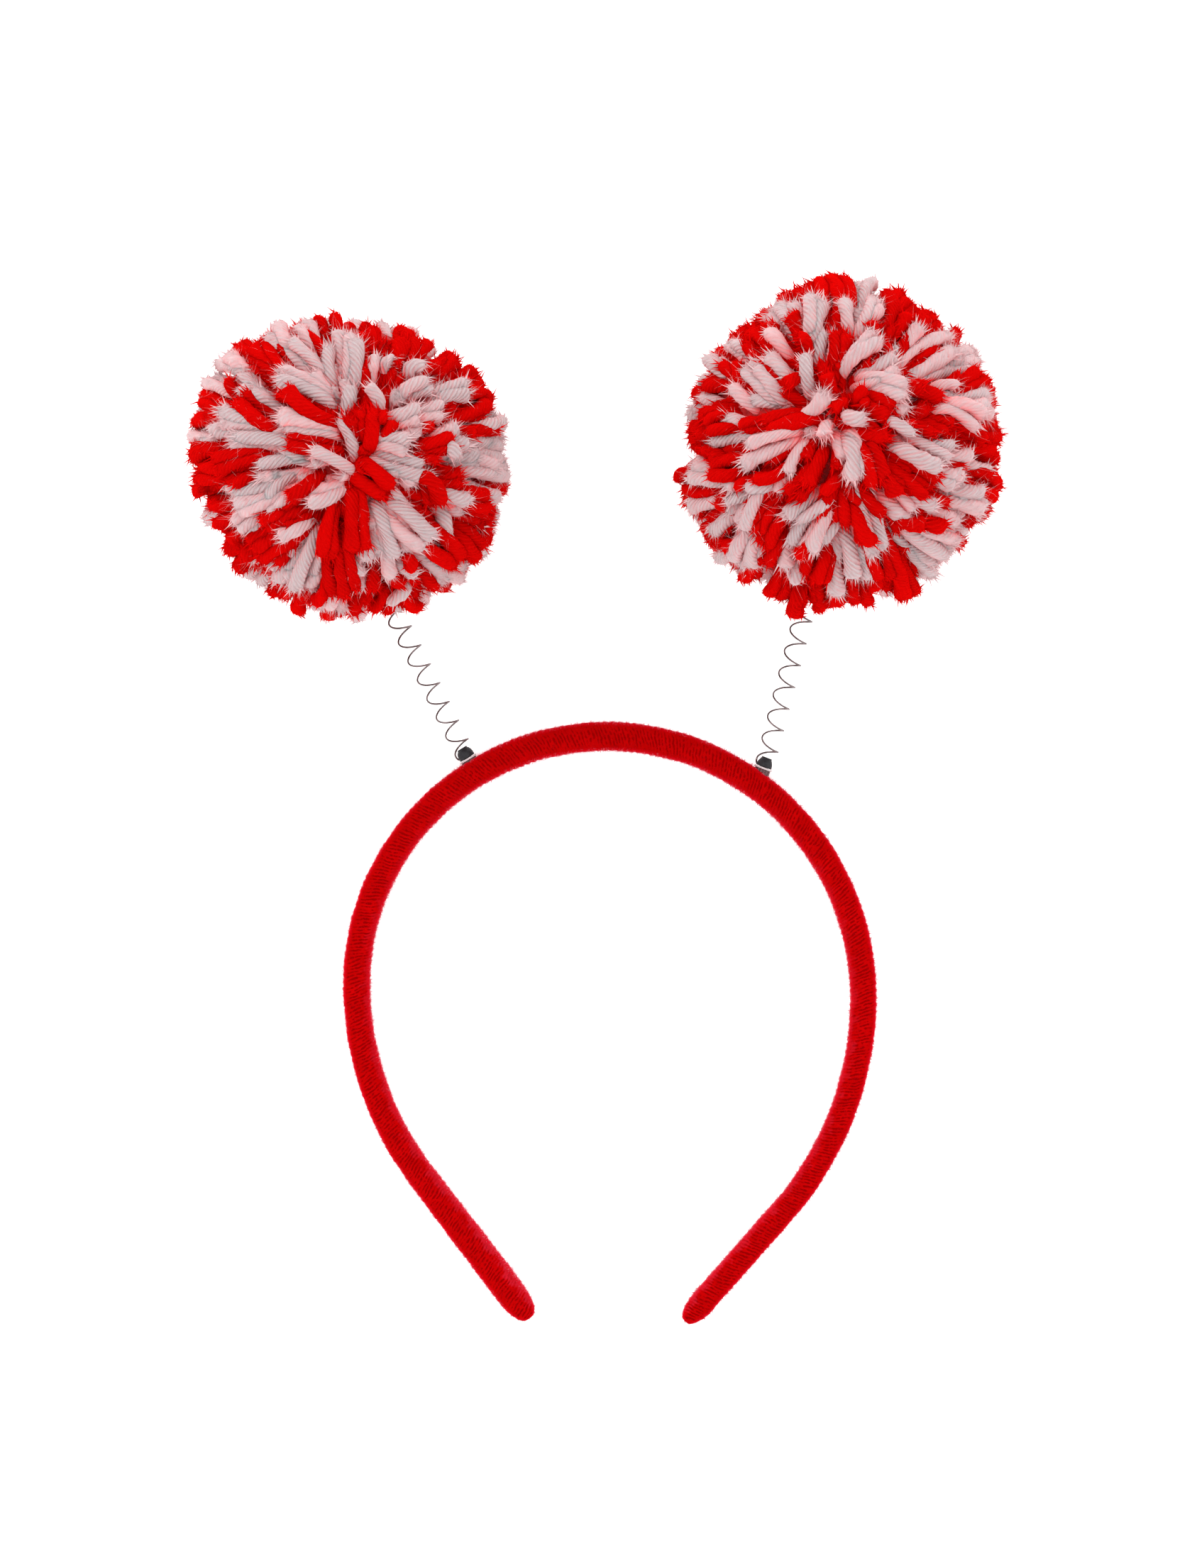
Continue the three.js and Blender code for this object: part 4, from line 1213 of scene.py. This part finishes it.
@dataclass(frozen=True)
class Fuzz:
    """How loose fibres stand on the yarn: how many per square metre, how long and thick, and which way."""

    side_density: float
    tip_density: float
    underside_loss: float
    inner_share: float
    length: float
    radius: float
    segments: int
    curl: float
    lift: float
    along: float
    slant: float
    disorder: float
    seed: int


BRUSH = Fuzz(
    side_density=0.45e6, tip_density=2.6e6, underside_loss=0.4, inner_share=0.85, length=1.4, radius=0.07,
    segments=1, curl=0.0, lift=0.9, along=0.6, slant=0.8, disorder=1.0, seed=4,
)
TUFTS = Fuzz(
    side_density=0.0, tip_density=0.9e6, underside_loss=0.1, inner_share=0.86, length=2.5, radius=0.23,
    segments=1, curl=0.0, lift=0.5, along=1.2, slant=0.3, disorder=0.8, seed=24,
)
HALO = Fuzz(
    side_density=0.25e6, tip_density=0.60e6, underside_loss=0.5, inner_share=0.90, length=4.0, radius=0.03,
    segments=2, curl=1.4, lift=1.0, along=0.5, slant=0.2, disorder=0.9, seed=14,
)


@dataclass
class Strand:
    """One strand of yarn: where its tip points, where it leaves the pompom's middle, its reach and its rise."""

    yarn: Yarn
    tip: np.ndarray
    root: np.ndarray
    reach: float
    rise: tuple[float, float, float]


@dataclass
class Pompom:
    """A pompom wound from two yarns, whose strands fan out from a hub on top and are cut to a ball."""

    antenna: Antenna
    chart: LockChart
    seed: int
    eye: np.ndarray
    fill_count: int = 430
    fill_reach: float = 0.885
    rim_reach: float = 0.92
    lock_reach: float = 0.945
    longest: float = 0.985
    strand_radius: float = 1.66
    strand_points: int = 13
    strand_sides: int = 12
    ply_depth: float = 0.08
    ply_count: int = 3
    twist: float = -150.0
    lock_spacing: float = 4.6
    lean: float = 26.0
    chart_shares: tuple[float, ...] = (0.0, 0.3, 0.6, 1.0)
    core_share: float = 0.82
    crease_depth: float = 2.8
    cell_count: int = 56
    brush: Fuzz = BRUSH
    tufts: Fuzz = TUFTS
    halo: Fuzz = HALO

    def __post_init__(self) -> None:
        """Seeds the pompom's own random numbers."""
        self.rng = np.random.default_rng(self.seed)
        self.centre = self.antenna.centre
        self.radius = self.antenna.pompom_radius
        self.hub = self.facing(*self.chart.hub)

    def facing(self, across: float, down: float) -> np.ndarray:
        """The direction from the pompom's middle to the point of the ball that the chart's place shows."""
        flat = np.array([across - self.chart.middle[0], self.chart.middle[1] - down]) / self.chart.radius
        aim = self.centre + self.radius * np.array([flat[0], flat[1], 0.0]) - self.eye
        aim /= np.linalg.norm(aim)
        back = self.eye - self.centre
        along = float(back @ aim)
        under = along**2 - float(back @ back) + self.radius**2
        if under > 0:
            hit = back + aim * (-along - math.sqrt(under))
            return hit / np.linalg.norm(hit)
        reach = np.linalg.norm(flat)
        return np.array([flat[0] / reach, flat[1] / reach, 0.0])

    def charted(self) -> list[Strand]:
        """The strands of the locks that the chart gives."""
        strands = []
        for yarn, rows in self.chart.locks.items():
            for tip_x, tip_y, root_x, root_y, count in rows:
                course = np.array([tip_x - root_x, tip_y - root_y], float)
                course /= np.linalg.norm(course) + 1e-9
                aside = np.array([-course[1], course[0]])
                lock_reach = self.lock_reach + self.rng.normal(0, 0.02)
                for place in range(count):
                    offset = (place - (count - 1) / 2) * self.lock_spacing
                    draw = self.rng.normal(0, 0.8, 2)
                    shorter = -abs(self.rng.normal(0, 1.2)) if count > 1 else 0.0
                    tip = np.array([tip_x, tip_y]) + aside * offset + course * shorter + draw * 0.5
                    root = np.array([root_x, root_y]) + aside * offset * 0.55 + draw
                    reach = min(lock_reach + self.rng.normal(0, 0.014), self.longest)
                    strands.append(Strand(yarn, self.facing(*tip), self.facing(*root), reach, (0.80, 0.98, 1.0)))
        for yarn, tip_x, tip_y, root_x, root_y, reach in self.chart.strays:
            tip, root = self.facing(tip_x, tip_y), self.facing(root_x, root_y)
            strands.append(Strand(yarn, tip, root, reach, (0.80, 0.98, 1.0)))
        return strands

    def yarn_at(self, tip: np.ndarray) -> Yarn:
        """The yarn of the charted lock nearest to a direction, or of a mottled pattern on the underside."""
        if tip[2] > 0.05:
            gaps = np.sum((self.chart_marks - tip) ** 2, axis=1)
            return self.chart_yarns[int((gaps * self.chart_bias).argmin()) // len(self.chart_shares)]
        wave = sum(math.sin(float(tip @ axis) * rate + phase) for axis, rate, phase in self.mottle)
        return Yarn.RED if wave > 0.15 else Yarn.WHITE

    def filling(self, charted: list[Strand]) -> list[Strand]:
        """Strands between and below the charted locks, all round the ball."""
        marks = [strand.root * (1 - share) + strand.tip * share for strand in charted for share in self.chart_shares]
        self.chart_marks = np.array([mark / np.linalg.norm(mark) for mark in marks])
        self.chart_yarns = [strand.yarn for strand in charted]
        bias = [self.chart.white_bias if yarn is Yarn.WHITE else 1.0 for yarn in self.chart_yarns]
        self.chart_bias = np.repeat(bias, len(self.chart_shares))
        axes = self.rng.normal(0, 1, (5, 3))
        axes /= np.linalg.norm(axes, axis=1)[:, None]
        self.mottle = [(axis, self.rng.uniform(7, 15), self.rng.uniform(0, 6.3)) for axis in axes]
        strands = []
        for i in range(self.fill_count):
            height = 1 - (2 * i + 1) / self.fill_count
            level = math.sqrt(1 - height**2)
            angle = GOLDEN_ANGLE * i
            tip = np.array([level * math.cos(angle), level * math.sin(angle), height])
            tip += self.rng.normal(0, 0.045, 3)
            tip /= np.linalg.norm(tip)
            apart = math.acos(min(0.999, max(-0.999, float(tip @ self.hub))))
            lean = math.radians(self.lean) * math.sin(min(math.pi / 2, 1.6 * apart))
            root = tip * math.sin(apart - lean) + self.hub * math.sin(lean)
            root /= np.linalg.norm(root)
            root += self.rng.normal(0, 0.04, 3)
            root /= np.linalg.norm(root)
            inside = min(1.0, max(0.0, (tip[2] - 0.05) / 0.35))
            reach = self.rim_reach + (self.fill_reach - self.rim_reach) * inside + self.rng.normal(0, 0.02)
            strands.append(Strand(self.yarn_at(tip), tip, root, reach, (0.76, 0.86, 0.96)))
        return strands

    def course(self, strand: Strand) -> np.ndarray:
        """A strand's centreline from inside the core to its tip, in millimetres."""
        azimuth = math.atan2(strand.tip[1], strand.tip[0])
        level = math.hypot(strand.tip[0], strand.tip[1])
        outline = 1 + (float(self.antenna.outline_share(np.array(azimuth))) - 1) * level
        reach = self.radius * strand.reach * outline
        middle = strand.root * 0.42 + strand.tip * 0.58
        middle /= np.linalg.norm(middle)
        bow = self.rng.normal(0, 0.035, 3)
        low, high, near = strand.rise
        knots = np.array([strand.root * low, (strand.root + bow) * high, (middle + bow) * near, strand.tip]) * reach
        t = np.linspace(0, 1, self.strand_points - 2)
        t = np.concatenate([t[:-1], [0.955, 0.985, 1.0]])[:, None]
        weights = [(1 - t) ** 3, 3 * t * (1 - t) ** 2, 3 * t**2 * (1 - t), t**3]
        points = sum(weight * knot for weight, knot in zip(weights, knots)) + self.centre
        lowest = self.strand_radius * 0.75
        points[:, 2] = np.maximum(points[:, 2], lowest)
        return points

    def strand_mesh(self, strands: list[Strand]) -> bpy.types.Mesh:
        """The strands' centrelines as chains of edges, with what the tree and the yarn's finish read."""
        chains = [self.course(strand) for strand in strands]
        count = len(chains[0])
        points = np.vstack(chains)
        edges = [(c * count + i, c * count + i + 1) for c in range(len(chains)) for i in range(count - 1)]
        mesh = bpy.data.meshes.new("yarn_courses")
        mesh.from_pydata((points * MM).tolist(), edges, [])
        taper = np.linspace(0.80, 1.12, count)
        taper[-4:] = (1.12, 1.04, 0.82, 0.45)
        thick = self.rng.uniform(0.84, 1.16, len(chains))
        steps = [np.linalg.norm(np.diff(chain, axis=0), axis=1) for chain in chains]
        along = np.concatenate([np.concatenate([[0], np.cumsum(lengths)]) for lengths in steps])
        heading = np.vstack([np.gradient(c, axis=0) for c in chains])
        heading /= np.linalg.norm(heading, axis=1)[:, None]
        uneven = self.rng.normal(1, 0.06, (len(chains), count))
        store(mesh, "strand_radius", (np.outer(thick, taper) * uneven).ravel() * self.strand_radius * MM)
        store(mesh, "yarn_along", along * MM)
        store(mesh, "yarn_shade", np.repeat(self.rng.uniform(0, 1, len(chains)), count))
        store(mesh, "yarn_heading", heading)
        store(mesh, "tip_share", np.tile(np.linspace(0, 1, count), len(chains)))
        return mesh

    def strand_tree(self) -> Tree:
        """The tree that draws twisted, plied yarn along the centrelines."""
        sockets = {
            "Twist": "NodeSocketFloat",
            "Sides": "NodeSocketInt",
            "Ply Count": "NodeSocketFloat",
            "Ply Depth": "NodeSocketFloat",
            "Material": "NodeSocketMaterial",
        }
        tree, given, out = geometry_tree("yarn strands", sockets)
        path = tree.add("GeometryNodeMeshToCurve", {0: given.outputs["Geometry"]})
        along = tree.add("GeometryNodeInputNamedAttribute", {"Name": "yarn_along"}, data_type="FLOAT").outputs[0]
        radius = tree.add("GeometryNodeInputNamedAttribute", {"Name": "strand_radius"}, data_type="FLOAT").outputs[0]
        tilt = tree.math("MULTIPLY", along, given.outputs["Twist"])
        twisted = tree.add("GeometryNodeSetCurveTilt", {"Curve": path.outputs[0], "Tilt": tilt})
        ring = tree.add("GeometryNodeCurvePrimitiveCircle", {"Resolution": given.outputs["Sides"], "Radius": 1.0})
        place = tree.add("GeometryNodeInputPosition").outputs[0]
        apart = tree.add("ShaderNodeSeparateXYZ", {0: place})
        angle = tree.math("ARCTAN2", apart.outputs[1], apart.outputs[0])
        wave = tree.math("COSINE", tree.math("MULTIPLY", angle, given.outputs["Ply Count"]))
        swell = tree.math("ADD", tree.math("MULTIPLY", wave, given.outputs["Ply Depth"]), 1.0)
        lobes = tree.add("ShaderNodeVectorMath", {0: place, "Scale": swell}, operation="SCALE")
        section = tree.add("GeometryNodeSetPosition", {0: ring.outputs[0], "Position": lobes.outputs[0]})
        marked = tree.add(
            "GeometryNodeStoreNamedAttribute",
            {0: section.outputs[0], "Name": "yarn_across", "Value": tree.add("GeometryNodeInputPosition").outputs[0]},
            data_type="FLOAT_VECTOR",
            domain="POINT",
        )
        body = tree.add(
            "GeometryNodeCurveToMesh",
            {"Curve": twisted.outputs[0], "Profile Curve": marked.outputs[0], "Scale": radius, "Fill Caps": True},
        )
        smooth = tree.add("GeometryNodeSetShadeSmooth", {0: body.outputs[0]})
        real = tree.add("GeometryNodeRealizeInstances", {0: smooth.outputs[0]})
        made = tree.add("GeometryNodeSetMaterial", {0: real.outputs[0], "Material": given.outputs["Material"]})
        tree.join(made.outputs[0], out.inputs[0])
        return tree

    def fuzz_tree(self) -> Tree:
        """The tree that stands loose fibres on the strands, thickest at their brushed tips."""
        sockets = {
            "Middle": "NodeSocketVector",
            "Side Density": "NodeSocketFloat",
            "Tip Density": "NodeSocketFloat",
            "Underside Loss": "NodeSocketFloat",
            "Inner Reach": "NodeSocketFloat",
            "Length": "NodeSocketFloat",
            "Radius": "NodeSocketFloat",
            "Segments": "NodeSocketInt",
            "Curl": "NodeSocketFloat",
            "Lift": "NodeSocketFloat",
            "Along": "NodeSocketFloat",
            "Slant": "NodeSocketFloat",
            "Disorder": "NodeSocketFloat",
            "Seed": "NodeSocketInt",
            "Material": "NodeSocketMaterial",
        }
        tree, given, out = geometry_tree("loose fibres", sockets)
        tip = tree.add("GeometryNodeInputNamedAttribute", {"Name": "tip_share"}, data_type="FLOAT").outputs[0]
        place = tree.add("GeometryNodeInputPosition").outputs[0]
        reach = tree.add(
            "ShaderNodeVectorMath", {0: place, 1: given.outputs["Middle"]}, operation="DISTANCE"
        ).outputs["Value"]
        outer = tree.math("GREATER_THAN", reach, given.outputs["Inner Reach"])
        from_middle = tree.add("ShaderNodeVectorMath", {0: place, 1: given.outputs["Middle"]}, operation="SUBTRACT")
        from_middle = tree.add("ShaderNodeVectorMath", {0: from_middle.outputs[0]}, operation="NORMALIZE")
        normal = tree.add("GeometryNodeInputNormal").outputs[0]
        facing = tree.add("ShaderNodeVectorMath", {0: normal, 1: from_middle.outputs[0]}, operation="DOT_PRODUCT")
        outer = tree.math("MULTIPLY", outer, tree.math("GREATER_THAN", facing.outputs["Value"], -0.1))
        near_tip = tree.math("GREATER_THAN", tip, 0.80)
        density = tree.math("MULTIPLY", near_tip, given.outputs["Tip Density"])
        density = tree.math("ADD", density, given.outputs["Side Density"])
        height = tree.add("ShaderNodeSeparateXYZ", {0: from_middle.outputs[0]}).outputs[2]
        below = tree.math("LESS_THAN", height, -0.15)
        kept = tree.math("SUBTRACT", 1.0, tree.math("MULTIPLY", below, given.outputs["Underside Loss"]))
        density = tree.math("MULTIPLY", tree.math("MULTIPLY", density, outer), kept)
        points = tree.add(
            "GeometryNodeDistributePointsOnFaces",
            {"Mesh": given.outputs["Geometry"], "Density": density, "Seed": given.outputs["Seed"]},
        )
        fibre = tree.add(
            "GeometryNodeMeshCone",
            {
                "Vertices": 3,
                "Side Segments": given.outputs["Segments"],
                "Radius Bottom": given.outputs["Radius"],
                "Depth": given.outputs["Length"],
            },
            fill_type="NGON",
        )
        at = tree.add("ShaderNodeSeparateXYZ", {0: tree.add("GeometryNodeInputPosition").outputs[0]})
        lift = tree.math("DIVIDE", at.outputs[2], given.outputs["Length"])
        bend = tree.math("MULTIPLY", tree.math("MULTIPLY", lift, lift), given.outputs["Curl"])
        aside = tree.add("ShaderNodeCombineXYZ", {0: bend}).outputs[0]
        bent = tree.add("GeometryNodeSetPosition", {0: fibre.outputs[0], "Offset": aside})
        heading = tree.add(
            "GeometryNodeInputNamedAttribute", {"Name": "yarn_heading"}, data_type="FLOAT_VECTOR"
        ).outputs[0]
        swept = tree.add("ShaderNodeVectorMath", {0: heading, "Scale": given.outputs["Along"]}, operation="SCALE")
        low = tree.math("MULTIPLY", given.outputs["Disorder"], -1.0)
        spread = tree.add(
            "FunctionNodeRandomValue",
            {
                0: tree.add("ShaderNodeCombineXYZ", {0: low, 1: low, 2: low}).outputs[0],
                1: tree.add(
                    "ShaderNodeCombineXYZ",
                    {0: given.outputs["Disorder"], 1: given.outputs["Disorder"], 2: given.outputs["Disorder"]},
                ).outputs[0],
                "Seed": 2,
            },
            data_type="FLOAT_VECTOR",
        )
        raised = tree.add(
            "ShaderNodeVectorMath", {0: points.outputs["Normal"], "Scale": given.outputs["Lift"]}, operation="SCALE"
        )
        round_strand = tree.add(
            "ShaderNodeVectorMath", {0: points.outputs["Normal"], 1: heading}, operation="CROSS_PRODUCT"
        )
        slanted = tree.add(
            "ShaderNodeVectorMath", {0: round_strand.outputs[0], "Scale": given.outputs["Slant"]}, operation="SCALE"
        )
        aim = tree.add("ShaderNodeVectorMath", {0: raised.outputs[0], 1: swept.outputs[0]}, operation="ADD")
        aim = tree.add("ShaderNodeVectorMath", {0: aim.outputs[0], 1: slanted.outputs[0]}, operation="ADD")
        aim = tree.add("ShaderNodeVectorMath", {0: aim.outputs[0], 1: spread.outputs[0]}, operation="ADD")
        spin = tree.add("FunctionNodeRandomValue", {2: 0.0, 3: 6.283, "Seed": 8}, data_type="FLOAT").outputs[1]
        first = tree.add("FunctionNodeAxisAngleToRotation", {"Axis": (0.0, 0.0, 1.0), "Angle": spin}).outputs[0]
        turn = tree.add("FunctionNodeAlignRotationToVector", {"Rotation": first, "Vector": aim.outputs[0]}, axis="Z")
        size = tree.add("FunctionNodeRandomValue", {2: 0.45, 3: 1.25, "Seed": 6}, data_type="FLOAT").outputs[1]
        fibres = tree.add(
            "GeometryNodeInstanceOnPoints",
            {
                "Points": points.outputs["Points"],
                "Instance": bent.outputs[0],
                "Rotation": turn.outputs[0],
                "Scale": tree.add("ShaderNodeCombineXYZ", {0: 1.0, 1: 1.0, 2: size}).outputs[0],
            },
        )
        real = tree.add("GeometryNodeRealizeInstances", {0: fibres.outputs[0]})
        made = tree.add("GeometryNodeSetMaterial", {0: real.outputs[0], "Material": given.outputs["Material"]})
        tree.join(made.outputs[0], out.inputs[0])
        return tree

    def core(self, material: bpy.types.Material) -> bpy.types.Object:
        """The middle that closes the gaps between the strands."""
        work = bmesh.new()
        bmesh.ops.create_icosphere(work, subdivisions=5, radius=self.radius * self.core_share * MM)
        for vertex in work.verts:
            vertex.co += Vector((self.centre * MM).tolist())
        mesh = bpy.data.meshes.new(f"{self.antenna.name}_pompom_core")
        work.to_mesh(mesh)
        work.free()
        mesh.materials.append(material)
        mesh.shade_smooth()
        return object_from(mesh)

    def build(self, materials: dict[tuple[Yarn, bool], bpy.types.Material], core: bpy.types.Material) -> None:
        """Builds the strands, their loose fibres and the core, and dresses them."""
        name = self.antenna.name
        charted = self.charted()
        strands = charted + self.filling(charted)
        node = f"{name}_pompom"
        dress(self.core(core), Slot.YARN, node)
        strand_tree, fuzz_tree = self.strand_tree(), self.fuzz_tree()
        bodies: dict[Yarn, bpy.types.Object] = {}
        for yarn in Yarn:
            mine = [strand for strand in strands if strand.yarn is yarn]
            values = {
                "Twist": self.twist,
                "Sides": self.strand_sides,
                "Ply Count": float(self.ply_count),
                "Ply Depth": self.ply_depth,
                "Material": materials[yarn, False],
            }
            bodies[yarn] = grow(f"{name}_{yarn.value}_strands", self.strand_mesh(mine), strand_tree, values)
            keep_above_floor(bodies[yarn].data)
        canopy = self.canopy([body.data for body in bodies.values()])
        for yarn, body in bodies.items():
            self.mark_open(body.data, canopy)
            tips = self.fuzz(f"{name}_{yarn.value}_brush", body, fuzz_tree, self.brush, materials[yarn, True])
            dress(body, Slot.YARN, node)
            dress(tips, Slot.YARN)
            dress(self.fuzz(f"{name}_{yarn.value}_tufts", body, fuzz_tree, self.tufts, materials[yarn, True]), Slot.YARN)
            if yarn is Yarn.WHITE:
                halo = self.fuzz(f"{name}_halo", body, fuzz_tree, self.halo, materials[yarn, True])
                dress(halo, Slot.YARN)

    def outwards(self, mesh: bpy.types.Mesh) -> np.ndarray:
        """Each point of a mesh from the pompom's middle, in millimetres."""
        points = np.empty(len(mesh.vertices) * 3, np.float32)
        mesh.vertices.foreach_get("co", points)
        return points.reshape(-1, 3) / MM - self.centre

    def cells(self, outwards: np.ndarray) -> tuple[np.ndarray, np.ndarray, np.ndarray]:
        """The cell of a cube round the pompom that each point lies behind: its face, row and column."""
        rows = np.arange(len(outwards))
        axis = np.abs(outwards).argmax(1)
        main = outwards[rows, axis]
        beside = np.array([[1, 2], [0, 2], [0, 1]])[axis]
        angles = [np.arctan2(outwards[rows, beside[:, i]], np.abs(main)) for i in (0, 1)]
        places = [((angle / math.pi * 2 + 0.5) * self.cell_count).astype(int) for angle in angles]
        row, column = (np.clip(place, 0, self.cell_count - 1) for place in places)
        return axis * 2 + (main < 0), row, column

    def canopy(self, meshes: list[bpy.types.Mesh]) -> np.ndarray:
        """How far the strands reach round each cell, in millimetres."""
        tops = np.full((6, self.cell_count, self.cell_count), self.radius * self.core_share)
        for mesh in meshes:
            outwards = self.outwards(mesh)
            np.maximum.at(tops, self.cells(outwards), np.linalg.norm(outwards, axis=1))
        shifts = [(down, across) for down in (-2, -1, 0, 1, 2) for across in (-2, -1, 0, 1, 2)]
        return np.mean([np.roll(tops, shift, (1, 2)) for shift in shifts], axis=0)

    def mark_open(self, mesh: bpy.types.Mesh, canopy: np.ndarray) -> None:
        """Stores how open to the light each point of the strands is, from 0 in a crease to 1 on a crest, for the yarn's
        painted light and shade.
        """
        normals = np.empty(len(mesh.vertices) * 3, np.float32)
        mesh.vertices.foreach_get("normal", normals)
        outwards = self.outwards(mesh)
        reach = np.linalg.norm(outwards, axis=1)
        facing = np.einsum("ij,ij->i", outwards, normals.reshape(-1, 3)) / reach
        depth = canopy[self.cells(outwards)] - reach
        level = np.clip(1 - depth / self.crease_depth, 0, 1)
        store(mesh, "yarn_open", level * (0.4 + 0.6 * np.clip(facing, 0, 1)))

    def fuzz(
        self, name: str, body: bpy.types.Object, tree: Tree, look: Fuzz, material: bpy.types.Material
    ) -> bpy.types.Object:
        """Loose fibres on a piece of strands.

        Args:
            name: the new piece's name.
            body: the strands.
            tree: the tree of loose fibres.
            look: how the fibres stand and how many there are.
            material: their finish.

        Returns:
            The fibres as one object.
        """
        values = {
            "Middle": (self.centre * MM).tolist(),
            "Side Density": look.side_density,
            "Tip Density": look.tip_density,
            "Underside Loss": look.underside_loss,
            "Inner Reach": self.radius * look.inner_share * MM,
            "Length": look.length * MM,
            "Radius": look.radius * MM,
            "Segments": look.segments,
            "Curl": look.curl * MM,
            "Lift": look.lift,
            "Along": look.along,
            "Slant": look.slant,
            "Disorder": look.disorder,
            "Seed": look.seed,
            "Material": material,
        }
        fibres = grow(name, body.data.copy(), tree, values)
        keep_above_floor(fibres.data)
        return fibres


# Studio


@dataclass
class Studio:
    """The floor, the soft lights and the camera that looks straight down as the photograph does."""

    eye: tuple[float, float, float] = (0.7406, 6.0026, 1000.0)
    frame_height: float = 386.75
    sensor: float = 36.0
    floor_size: float = 6.0

    def build(self) -> None:
        """Builds the whole studio."""
        self.floor()
        self.camera()
        self.lights()

    def floor(self) -> None:
        """A plain floor that the object lies on."""
        half = self.floor_size / 2
        corners = [(-half, -half, 0), (half, -half, 0), (half, half, 0), (-half, half, 0)]
        mesh = bpy.data.meshes.new("floor")
        mesh.from_pydata(corners, [], [(0, 1, 2, 3)])
        mesh.materials.append(FloorFinish().material())
        object_from(mesh)

    def camera(self) -> None:
        """A camera straight above, framed as the photograph."""
        camera = bpy.data.cameras.new("camera")
        camera.sensor_fit = "VERTICAL"
        camera.sensor_height = self.sensor
        camera.sensor_width = self.sensor * PHOTO_WIDTH / PHOTO_HEIGHT
        camera.lens = self.sensor * self.eye[2] / self.frame_height
        camera.clip_end = 20.0
        holder = bpy.data.objects.new("camera", camera)
        holder.location = [value * MM for value in self.eye]
        bpy.context.scene.collection.objects.link(holder)
        bpy.context.scene.camera = holder

    def lights(self) -> None:
        """A pale sky and a wide key light from the upper left."""
        scene = bpy.context.scene
        scene.view_settings.view_transform = "Standard"
        world = bpy.data.worlds.new("studio")
        world.use_nodes = True
        tree = Tree(world.node_tree)
        sky = tree.add("ShaderNodeBackground", {"Color": (1.0, 1.0, 1.0, 1.0), "Strength": 1.65})
        tree.add("ShaderNodeOutputWorld", {0: sky.outputs[0]})
        scene.world = world
        self.area("key", (-0.35, 0.50, 1.15), 0.9, 5.0)
        self.area("fill", (0.50, -0.25, 1.2), 1.4, 1.0)

    def area(self, name: str, place: tuple[float, float, float], size: float, power: float) -> None:
        """A square soft light that faces the object's middle."""
        light = bpy.data.lights.new(name, "AREA")
        light.size = size
        light.energy = power
        holder = bpy.data.objects.new(name, light)
        holder.location = place
        holder.rotation_euler = (-Vector(place)).to_track_quat("-Z", "Y").to_euler()
        bpy.context.scene.collection.objects.link(holder)


def main() -> None:
    """Builds the head bopper's looks piece by piece."""
    logging.basicConfig(level=logging.INFO, format="%(name)s: %(message)s")
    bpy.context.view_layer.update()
    studio = Studio()
    studio.build()
    plan = BandPlan()
    Headband(plan).build()
    left = Antenna(
        name="left", outward=-1, stand_angle=31.4, flange_standoff=0.25, cap_lean=31.5, cap_height=2.7,
        cap_squareness=4, spring_lean=26.2, spring_rise=20.5, spring_pitch=5.4, pompom_lean=21.3, pompom_reach=42.2,
        pompom_radius=38.5, outline=(1.02, 0.98, 0.96, 0.90, 0.99, 1, 1, 0.98, 1, 1.02, 1.04, 1.045), plan=plan,
    )
    right = Antenna(
        name="right", outward=1, stand_angle=34.9, flange_standoff=0.8, cap_lean=21, cap_height=2.4,
        cap_squareness=2, spring_lean=13.6, spring_rise=21.5, spring_pitch=5.8, pompom_lean=11.9, pompom_reach=42.5,
        pompom_radius=40.5, outline=(1, 1, 0.99, 1.015, 0.98, 0.95, 0.935, 0.98, 0.98, 0.975, 0.96, 0.985), plan=plan,
    )
    rubber, clear, wire = RubberFinish().material(), ClearPlasticFinish().material(), WireFinish().material()
    yarns = {(yarn, fibres): YARN_FINISHES[yarn].material(fibres) for yarn in Yarn for fibres in (False, True)}
    core = CoreFinish().material()
    eye = np.array(studio.eye)
    for antenna, chart, seed in ((left, LEFT_CHART, 21), (right, RIGHT_CHART, 34)):
        Stand(antenna).build(rubber, clear)
        Spring(antenna).build(wire)
        Pompom(antenna, chart, seed, eye).build(yarns, core)
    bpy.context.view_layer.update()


if __name__ == "__main__":
    main()
